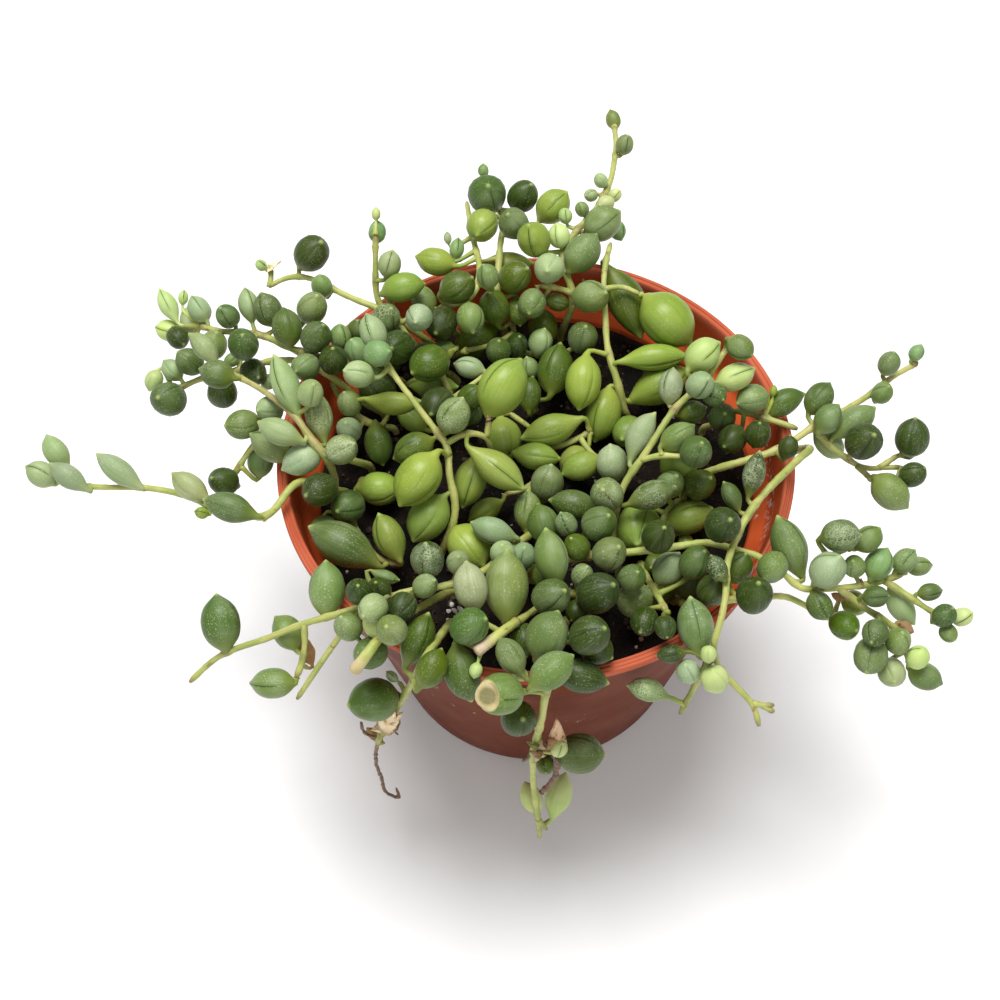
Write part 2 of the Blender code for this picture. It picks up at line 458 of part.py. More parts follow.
def plan_strands():
    """Every stem and leaf in its place, moved along the line of sight until nothing overlaps."""
    stems, leaves, stem_strand, leaf_strand = [], [], [], []
    first = 0
    for number, (routes, entries) in enumerate(STRANDS.values()):
        drawn = draw_stems(routes)
        samples = np.vstack(drawn)
        leaves += [place_leaf(entry, samples, first) for entry in entries]
        leaf_strand += [number] * len(entries)
        stems += drawn
        stem_strand += [number] * len(drawn)
        first += len(samples)
    lengths = [len(stem) for stem in stems]
    starts = np.concatenate([[0], np.cumsum(lengths)])
    samples = np.vstack(stems)
    sample_strand = np.repeat(stem_strand, lengths)
    leaf_strand = np.array(leaf_strand)
    rooted = samples[:, 2] < SOIL_TOP + ROOT_RISE + 0.1
    rooted &= np.hypot(samples[:, 0], samples[:, 1]) < SOIL_RADIUS
    ties = []
    for k, start in enumerate(starts[:-1]):
        if k and stem_strand[k] == stem_strand[k - 1]:
            mates = np.nonzero((sample_strand == stem_strand[k]) & (np.arange(len(samples)) < start))[0]
            nearest = mates[np.argmin(np.linalg.norm(samples[mates] - samples[start], axis=1))]
            ties.append((start, nearest))

    middle = np.array([leaf["middle"] for leaf in leaves])
    axis = np.array([leaf["axis"] for leaf in leaves])
    half = np.array([leaf["half"] for leaf in leaves])
    radius = np.array([leaf["radius"] for leaf in leaves])
    seat = np.array([leaf["seat"] for leaf in leaves])
    leaf_shift = np.zeros_like(middle)
    stem_shift = np.zeros_like(samples)
    many, balls_each, stalks_each = len(leaves), len(LEAF_BALLS), len(STALK_BALLS)
    owner_leaf = np.repeat(np.arange(many), balls_each)
    owner_stalk = np.repeat(np.arange(many), stalks_each)
    sizes = np.concatenate([np.full(len(samples), STEM_RADIUS),
                            np.outer(radius, [size for _, size in LEAF_BALLS]).ravel(),
                            np.full(many * stalks_each, STALK_RADIUS)])
    body_kinds = [FOOT] + [BODY] * (balls_each - 1)
    kinds = np.concatenate([np.full(len(samples), STEM), np.tile(body_kinds, many),
                            np.full(many * stalks_each, STALK)])
    stem_owner = many + np.arange(len(samples))
    owners = np.concatenate([stem_owner, owner_leaf, owner_stalk])
    strands = np.concatenate([sample_strand, leaf_strand[owner_leaf], leaf_strand[owner_stalk]])
    along = np.array([2.0 * place - 1.0 for place, _ in LEAF_BALLS])
    weights = np.concatenate([np.ones(len(samples)), np.ones(many * balls_each),
                              np.tile(STALK_BALLS, many)])

    pairs = may_touch(owners, kinds, strands)

    def all_balls():
        stem = samples + stem_shift
        centre = middle + leaf_shift
        body = centre[:, None] + axis[:, None] * (half[:, None] * along)[:, :, None]
        foot = centre - axis * half[:, None]
        start = stem[seat]
        stalk = np.stack([start + (foot - start) * part for part in STALK_BALLS], axis=1)
        return np.vstack([stem, body.reshape(-1, 3), stalk.reshape(-1, 3)])

    for turn in range(ROUNDS):
        balls = all_balls()
        if turn % LIST_EVERY == 0:
            one, two, keep = near_pairs(balls, sizes, kinds, strands, pairs)
        apart = balls[two] - balls[one]
        gap = np.linalg.norm(apart, axis=1)
        short = keep - gap
        hit = short > 0
        a, b = one[hit], two[hit]
        way = apart[hit] / np.maximum(gap[hit], 1e-6)[:, None]
        deeper = np.sign((way @ AHEAD) + 1e-9)
        way = way + DEPTH_SHARE * deeper[:, None] * AHEAD
        way /= np.linalg.norm(way, axis=1)[:, None]
        step = way * (PUSH * short[hit])[:, None]
        moves = np.zeros((many + len(samples), 3))
        hits = np.zeros(many + len(samples))
        for end, sign in ((a, -1.0), (b, 1.0)):
            np.add.at(moves, owners[end], sign * step * weights[end][:, None])
            np.add.at(hits, owners[end], 1.0)
        wall = pot_push(balls, sizes)
        touched = np.any(wall != 0, axis=1)
        np.add.at(moves, owners[touched], wall[touched] * WALL_PUSH)
        np.add.at(hits, owners[touched], 1.0)
        moves /= np.maximum(hits, 1.0)[:, None]
        depthwise = np.outer(moves @ AHEAD, AHEAD)
        moves = depthwise + SIDEWAYS * (moves - depthwise)
        leaf_shift += moves[:many]
        leaf_shift *= RETURN
        stem_shift += moves[many:] * STEM_GIVE
        stem_shift[rooted] = 0.0
        for k in range(len(stems)):
            part = stem_shift[starts[k]:starts[k + 1]]
            if len(part) > 2:
                part[1:-1] = 0.5 * part[1:-1] + 0.25 * (part[:-2] + part[2:])
        stem_shift[rooted] = 0.0
        for start, nearest in ties:
            stem_shift[start] = stem_shift[nearest]

    stem = samples + stem_shift
    centre = middle + leaf_shift
    plan = {}
    for number, name in enumerate(STRANDS):
        routes = [stem[starts[k]:starts[k + 1]] for k in range(len(stems)) if stem_strand[k] == number]
        own = np.nonzero(leaf_strand == number)[0]
        plan[name] = (routes, [{"start": stem[seat[i]], "foot": centre[i] - axis[i] * half[i],
                                "tip": centre[i] + axis[i] * half[i], "radius": radius[i]} for i in own])
    return plan


# Pot and soil

POT_STEPS = 48
FLOOR = 1.4
POT_PROFILE = [(0.0, FLOOR), (33.3, FLOOR), (45.7, 66.9), (48.2, 67.9), (49.0, 69.4), (50.2, 77.0),
               (50.3, POT_HEIGHT), (RIM_RADIUS, POT_HEIGHT), (RIM_RADIUS, 76.6), (51.3, 76.2),
               (50.0, 66.9), (46.9, 66.1), (BASE_RADIUS, 0.0), (0.0, 0.0)]
DRAIN_HOLES = 8
DRAIN_RADIUS = 3.0
DRAIN_RING = 26.0
SOIL_STEPS = 32
SOIL_RINGS = (11.0, 22.0, 33.0)
SOIL_EDGE = 45.2
SOIL_FOOT = 32.9
SOIL_LUMPS = 0.55
LUMP_SIZE = 7.0
SOIL_LIFT = 0.3
SURFACE_DEPTH = 1.0
ROOT_GAP = 0.4
HOLE_RADIUS = STEM_RADIUS + ROOT_GAP
HOLE_RISE = 3.0
PEG_SIDES = 8
PEG_OVERSHOOT = 1.0

# Faces of a stem and a leaf

STEM_SIDES_STEP = 1
STEM_TOLERANCE = 0.22
LEAF_SIDES = 5
LONG_STALK = 3.0
FOOT_FLARE = 1.15
FACES_KEPT = 0.6
SHARP_ANGLE = math.radians(60)
WELD_DISTANCE = 0.01
LEAF_TURNS = (0.0, 0.3, 0.6, 0.9, 0.15, 0.45, 0.75, 1.05)
LEAF_RINGS = ((0.26, 0.86), (0.62, 0.95))

# Colours

POT_COLOUR = (0.42, 0.10, 0.045)
SOIL_COLOUR = (0.018, 0.013, 0.009)
LEAF_COLOUR = (0.13, 0.22, 0.07)


def clear_scene():
    for thing in list(bpy.data.objects):
        bpy.data.objects.remove(thing, do_unlink=True)


def new_collection(name):
    collection = bpy.data.collections.new(name)
    bpy.context.scene.collection.children.link(collection)
    return collection


def new_material(name, colour, roughness):
    material = bpy.data.materials.new(name)
    material.use_nodes = True
    shader = material.node_tree.nodes["Principled BSDF"]
    shader.inputs["Base Color"].default_value = (*colour, 1.0)
    shader.inputs["Roughness"].default_value = roughness
    shader.inputs["Metallic"].default_value = 0.0
    return material


def add_mesh(name, mesh, collection, material=None):
    thing = bpy.data.objects.new(name, mesh)
    collection.objects.link(thing)
    if material:
        mesh.materials.clear()
        mesh.materials.append(material)
    return thing


def settled_mesh(thing):
    """The object's mesh with its modifiers applied."""
    graph = bpy.context.evaluated_depsgraph_get()
    return bpy.data.meshes.new_from_object(thing.evaluated_get(graph))


def weld(mesh):
    """Join the loose caps of a tube to its wall."""
    shape = bmesh.new()
    shape.from_mesh(mesh)
    bmesh.ops.remove_doubles(shape, verts=shape.verts, dist=WELD_DISTANCE * MM)
    shape.to_mesh(mesh)
    shape.free()
    return mesh


def turned(name, profile, steps, collection, material=None):
    """A profile in the XZ plane, turned round the Z axis."""
    mesh = bpy.data.meshes.new(name)
    points = [(radius * MM, 0.0, height * MM) for radius, height in profile]
    mesh.from_pydata(points, [(k, k + 1) for k in range(len(points) - 1)], [])
    thing = add_mesh(name, mesh, collection, material)
    screw = thing.modifiers.new("Turn", "SCREW")
    screw.axis = "Z"
    screw.angle = 2.0 * math.pi
    screw.steps = steps
    screw.render_steps = steps
    screw.use_merge_vertices = True
    screw.merge_threshold = WELD_DISTANCE * MM
    return thing


def peg(name, x, y, low, high, radius, collection):
    """An upright peg with flat sides, which lie a radius away from its axis."""
    shape = bmesh.new()
    corner = radius / math.cos(math.pi / PEG_SIDES) * MM
    bmesh.ops.create_cone(shape, cap_ends=True, segments=PEG_SIDES, radius1=corner, radius2=corner,
                          depth=(high - low) * MM)
    mesh = bpy.data.meshes.new(name)
    shape.to_mesh(mesh)
    shape.free()
    thing = add_mesh(name, mesh, collection)
    thing.location = (x * MM, y * MM, (low + high) / 2 * MM)
    thing.hide_render = True
    thing.display_type = "WIRE"
    return thing


def cut_with(thing, collection):
    cut = thing.modifiers.new("Cut", "BOOLEAN")
    cut.operation = "DIFFERENCE"
    cut.operand_type = "COLLECTION"
    cut.collection = collection


def make_pot(collection, material):
    pot = turned("pot", POT_PROFILE, POT_STEPS, collection, material)
    drains = new_collection("drain_hole_cutters")
    for k in range(DRAIN_HOLES):
        turn = 2.0 * math.pi * (k + 0.5) / DRAIN_HOLES
        x, y = DRAIN_RING * math.cos(turn), DRAIN_RING * math.sin(turn)
        peg("drain_hole", x, y, -PEG_OVERSHOOT, FLOOR + PEG_OVERSHOOT, DRAIN_RADIUS, drains)
    cut_with(pot, drains)
    return pot


def make_soil(collection, material, roots):
    profile = [(0.0, SOIL_TOP)] + [(ring, SOIL_TOP) for ring in SOIL_RINGS]
    profile += [(SOIL_EDGE, SOIL_TOP), (SOIL_FOOT, FLOOR + SOIL_LIFT), (0.0, FLOOR + SOIL_LIFT)]
    soil = turned("soil", profile, SOIL_STEPS, collection, material)
    mesh = settled_mesh(soil)
    soil.modifiers.clear()
    soil.data = mesh
    for vertex in mesh.vertices:
        if vertex.co.z > (SOIL_TOP - SURFACE_DEPTH) * MM:
            spot = Vector((vertex.co.x, vertex.co.y, 0.0)) / (LUMP_SIZE * MM)
            vertex.co.z += noise(spot) * SOIL_LUMPS * MM
    holes = new_collection("root_hole_cutters")
    for x, y in roots:
        peg("root_hole", x, y, SOIL_TOP - ROOT_DEPTH - ROOT_GAP, SOIL_TOP + HOLE_RISE, HOLE_RADIUS, holes)
    cut_with(soil, holes)
    return soil


def bends(route, low, high):
    """Numbers of the points that a route needs to stay within the tolerance."""
    if high - low < 2:
        return [low]
    chord = route[high] - route[low]
    away = route[low + 1:high] - route[low]
    along = np.clip(away @ chord / (chord @ chord), 0.0, 1.0)
    miss = np.linalg.norm(away - along[:, None] * chord, axis=1)
    worst = int(np.argmax(miss))
    if miss[worst] < STEM_TOLERANCE:
        return [low]
    middle = low + 1 + worst
    return bends(route, low, middle) + bends(route, middle, high)


def stem_tube(name, route, collection):
    """A round stem along a route, with points only where it bends."""
    keep = bends(route, 0, len(route) - 1) + [len(route) - 1]
    curve = bpy.data.curves.new(name, "CURVE")
    curve.dimensions = "3D"
    curve.bevel_depth = STEM_RADIUS * MM
    curve.bevel_resolution = STEM_SIDES_STEP
    curve.use_fill_caps = True
    spline = curve.splines.new("POLY")
    spline.points.add(len(keep) - 1)
    for point, k in zip(spline.points, keep):
        point.co = (*(float(value) * MM for value in route[k]), 1.0)
    guide = bpy.data.objects.new(name, curve)
    collection.objects.link(guide)
    stem = add_mesh(name, weld(settled_mesh(guide)), collection)
    stem.matrix_world = guide.matrix_world
    bpy.data.objects.remove(guide, do_unlink=True)
    return stem


def leaf_rings(leaf):
    """Middles and radii of the rings from inside the stem to just short of the tip."""
    start, foot, tip = (Vector(leaf[key]) for key in ("start", "foot", "tip"))
    rings = [(start, STALK_RADIUS)]
    if (foot - start).length > LONG_STALK:
        rings.append((foot, STALK_RADIUS * FOOT_FLARE))
    rings += [(foot.lerp(tip, place), leaf["radius"] * size) for place, size in LEAF_RINGS]
    return rings, tip


def leaf_body(name, leaf, turn, collection):
    """A plump pointed leaf, lofted from its stalk in the stem to its tip."""
    rings, tip = leaf_rings(leaf)
    sides = LEAF_SIDES
    middles = [middle for middle, _ in rings] + [tip]
    shape = bmesh.new()
    side = None
    loops = []
    for k, (middle, radius) in enumerate(rings):
        along = (middles[k + 1] - middles[max(k - 1, 0)]).normalized()
        side = along.orthogonal() if side is None else side - along * side.dot(along)
        side.normalize()
        across = along.cross(side)
        angles = [turn + 2.0 * math.pi * step / sides for step in range(sides)]
        loops.append([shape.verts.new((middle + (side * math.cos(angle) + across * math.sin(angle))
                                       * radius) * MM) for angle in angles])
    point = shape.verts.new(tip * MM)
    shape.faces.new(list(reversed(loops[0])))
    for low, high in zip(loops, loops[1:]):
        for k in range(sides):
            after = (k + 1) % sides
            shape.faces.new((low[k], low[after], high[after], high[k]))
    for k in range(sides):
        shape.faces.new((loops[-1][k], loops[-1][(k + 1) % sides], point))
    mesh = bpy.data.meshes.new(name)
    shape.to_mesh(mesh)
    shape.free()
    return add_mesh(name, mesh, collection)


def drop_scraps(mesh):
    """Leave only the largest body of a mesh."""
    shape = bmesh.new()
    shape.from_mesh(mesh)
    left = set(shape.verts)
    bodies = []
    while left:
        body = set()
        edge = {left.pop()}
        while edge:
            body |= edge
            edge = {link.other_vert(vert) for vert in edge for link in vert.link_edges} - body
        left -= body
        bodies.append(body)
    bodies.sort(key=len)
    for body in bodies[:-1]:
        bmesh.ops.delete(shape, geom=list(body), context="VERTS")
    shape.to_mesh(mesh)
    shape.free()


def is_closed(mesh):
    shape = bmesh.new()
    shape.from_mesh(mesh)
    closed = all(len(edge.link_faces) == 2 for edge in shape.edges)
    closed = closed and all(vert.link_faces for vert in shape.verts)
    shape.free()
    return closed


def joined(name, routes, leaves, turn, collection):
    """A strand's stems and leaves as one thinned mesh, each leaf turned about its own axis."""
    extra = new_collection(name + "_pieces")
    base = stem_tube(name + "_stem", routes[0], collection)
    for k, route in enumerate(routes[1:]):
        stem_tube(f"{name}_branch_{k}", route, extra)
    for k, leaf in enumerate(leaves):
        leaf_body(f"{name}_leaf_{k}", leaf, turn, extra)
    union = base.modifiers.new("Join", "BOOLEAN")
    union.operation = "UNION"
    union.operand_type = "COLLECTION"
    union.collection = extra
    union.solver = "MANIFOLD"
    thin = base.modifiers.new("Thin", "DECIMATE")
    thin.use_collapse_triangulate = True
    thin.ratio = FACES_KEPT
    mesh = settled_mesh(base)
    for thing in [base, *extra.objects]:
        bpy.data.objects.remove(thing, do_unlink=True)
    bpy.data.collections.remove(extra)
    return mesh


def make_strand(name, routes, leaves, collection, material):
    for turn in LEAF_TURNS:
        mesh = joined(name, routes, leaves, turn, collection)
        if is_closed(mesh):
            break
    drop_scraps(mesh)
    mesh.name = name
    body = add_mesh(name, mesh, collection, material)
    mesh.shade_smooth()
    mesh.set_sharp_from_angle(angle=SHARP_ANGLE)
    return body


def build():
    clear_scene()
    parts = new_collection("string_of_watermelons")
    plan = plan_strands()
    for name, (routes, leaves) in plan.items():
        green = new_material(name + "_green", LEAF_COLOUR, 0.5)
        make_strand(name, routes, leaves, parts, green)
    make_pot(parts, new_material("pot_plastic", POT_COLOUR, 0.45))
    roots = [routes[0][0][:2] for routes, _ in plan.values()]
    make_soil(parts, new_material("potting_soil", SOIL_COLOUR, 0.95), roots)


build()
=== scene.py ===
"""A potted string of watermelons as photographed: fine leaves, stems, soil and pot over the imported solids.

Lengths in the constants are millimetres unless they say otherwise. The routes and leaves are those of
the part's source, and so is the rule that slides them along the line of sight until none touch.
"""

import math

import bmesh
import bpy
import numpy as np
from mathutils import Euler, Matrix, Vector
from mathutils.noise import fractal, noise


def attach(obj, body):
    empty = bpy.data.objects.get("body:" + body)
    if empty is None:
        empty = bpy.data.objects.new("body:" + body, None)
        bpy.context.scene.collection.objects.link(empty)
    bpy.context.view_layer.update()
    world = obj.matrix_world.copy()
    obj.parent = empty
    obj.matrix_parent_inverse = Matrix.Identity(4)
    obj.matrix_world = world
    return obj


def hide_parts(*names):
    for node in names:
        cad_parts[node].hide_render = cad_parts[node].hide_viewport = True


# Sizes

MM = 0.001
SOIL_TOP = 66.0
ROOT_DEPTH = 5.0
ROOT_RISE = 1.5
STEM_RADIUS = 0.95
STALK_RADIUS = 0.7
GAP = 0.5

# Viewpoint of the photograph

EYE = np.array([0.0, -166.53, 309.93])
LOOK_DOWN = math.radians(56.369)
FOCAL_PIXELS = 1400.0
PICTURE_PIXELS = 1000.0
IMAGE_MIDDLE = (536.0, 500.0)
RIGHT = np.array([1.0, 0.0, 0.0])
UP = np.array([0.0, math.sin(LOOK_DOWN), math.cos(LOOK_DOWN)])
AHEAD = np.array([0.0, math.cos(LOOK_DOWN), -math.sin(LOOK_DOWN)])


def ray(u, v):
    """Direction from the eye through a pixel, one unit deep."""
    across = (u - IMAGE_MIDDLE[0]) / FOCAL_PIXELS
    up = (IMAGE_MIDDLE[1] - v) / FOCAL_PIXELS
    return RIGHT * across + UP * up + AHEAD


def sight(u, v, height):
    """Point at a height above the table that shows at a pixel."""
    along = ray(u, v)
    return EYE + along * (height - EYE[2]) / along[2]


def depth_of(point):
    return float((point - EYE) @ AHEAD)


def pixel_of(points):
    away = points - EYE
    depth = away @ AHEAD
    u = IMAGE_MIDDLE[0] + FOCAL_PIXELS * (away @ RIGHT) / depth
    v = IMAGE_MIDDLE[1] - FOCAL_PIXELS * (away @ UP) / depth
    return np.stack([u, v], axis=-1)


# Strands: where each stem runs and where its leaves sit

# Each strand has its stems first and then its leaves. A stem is a row of points, each with u, v and height:
# a pixel of the photograph and the height above the table. The first stem starts at the soil, and each
# further one, after a slash, grows from those before it. A leaf has u, v, width, tip u and tip v: its
# middle, its width across and its tip, in pixels, and its kind where that isn't waxy.

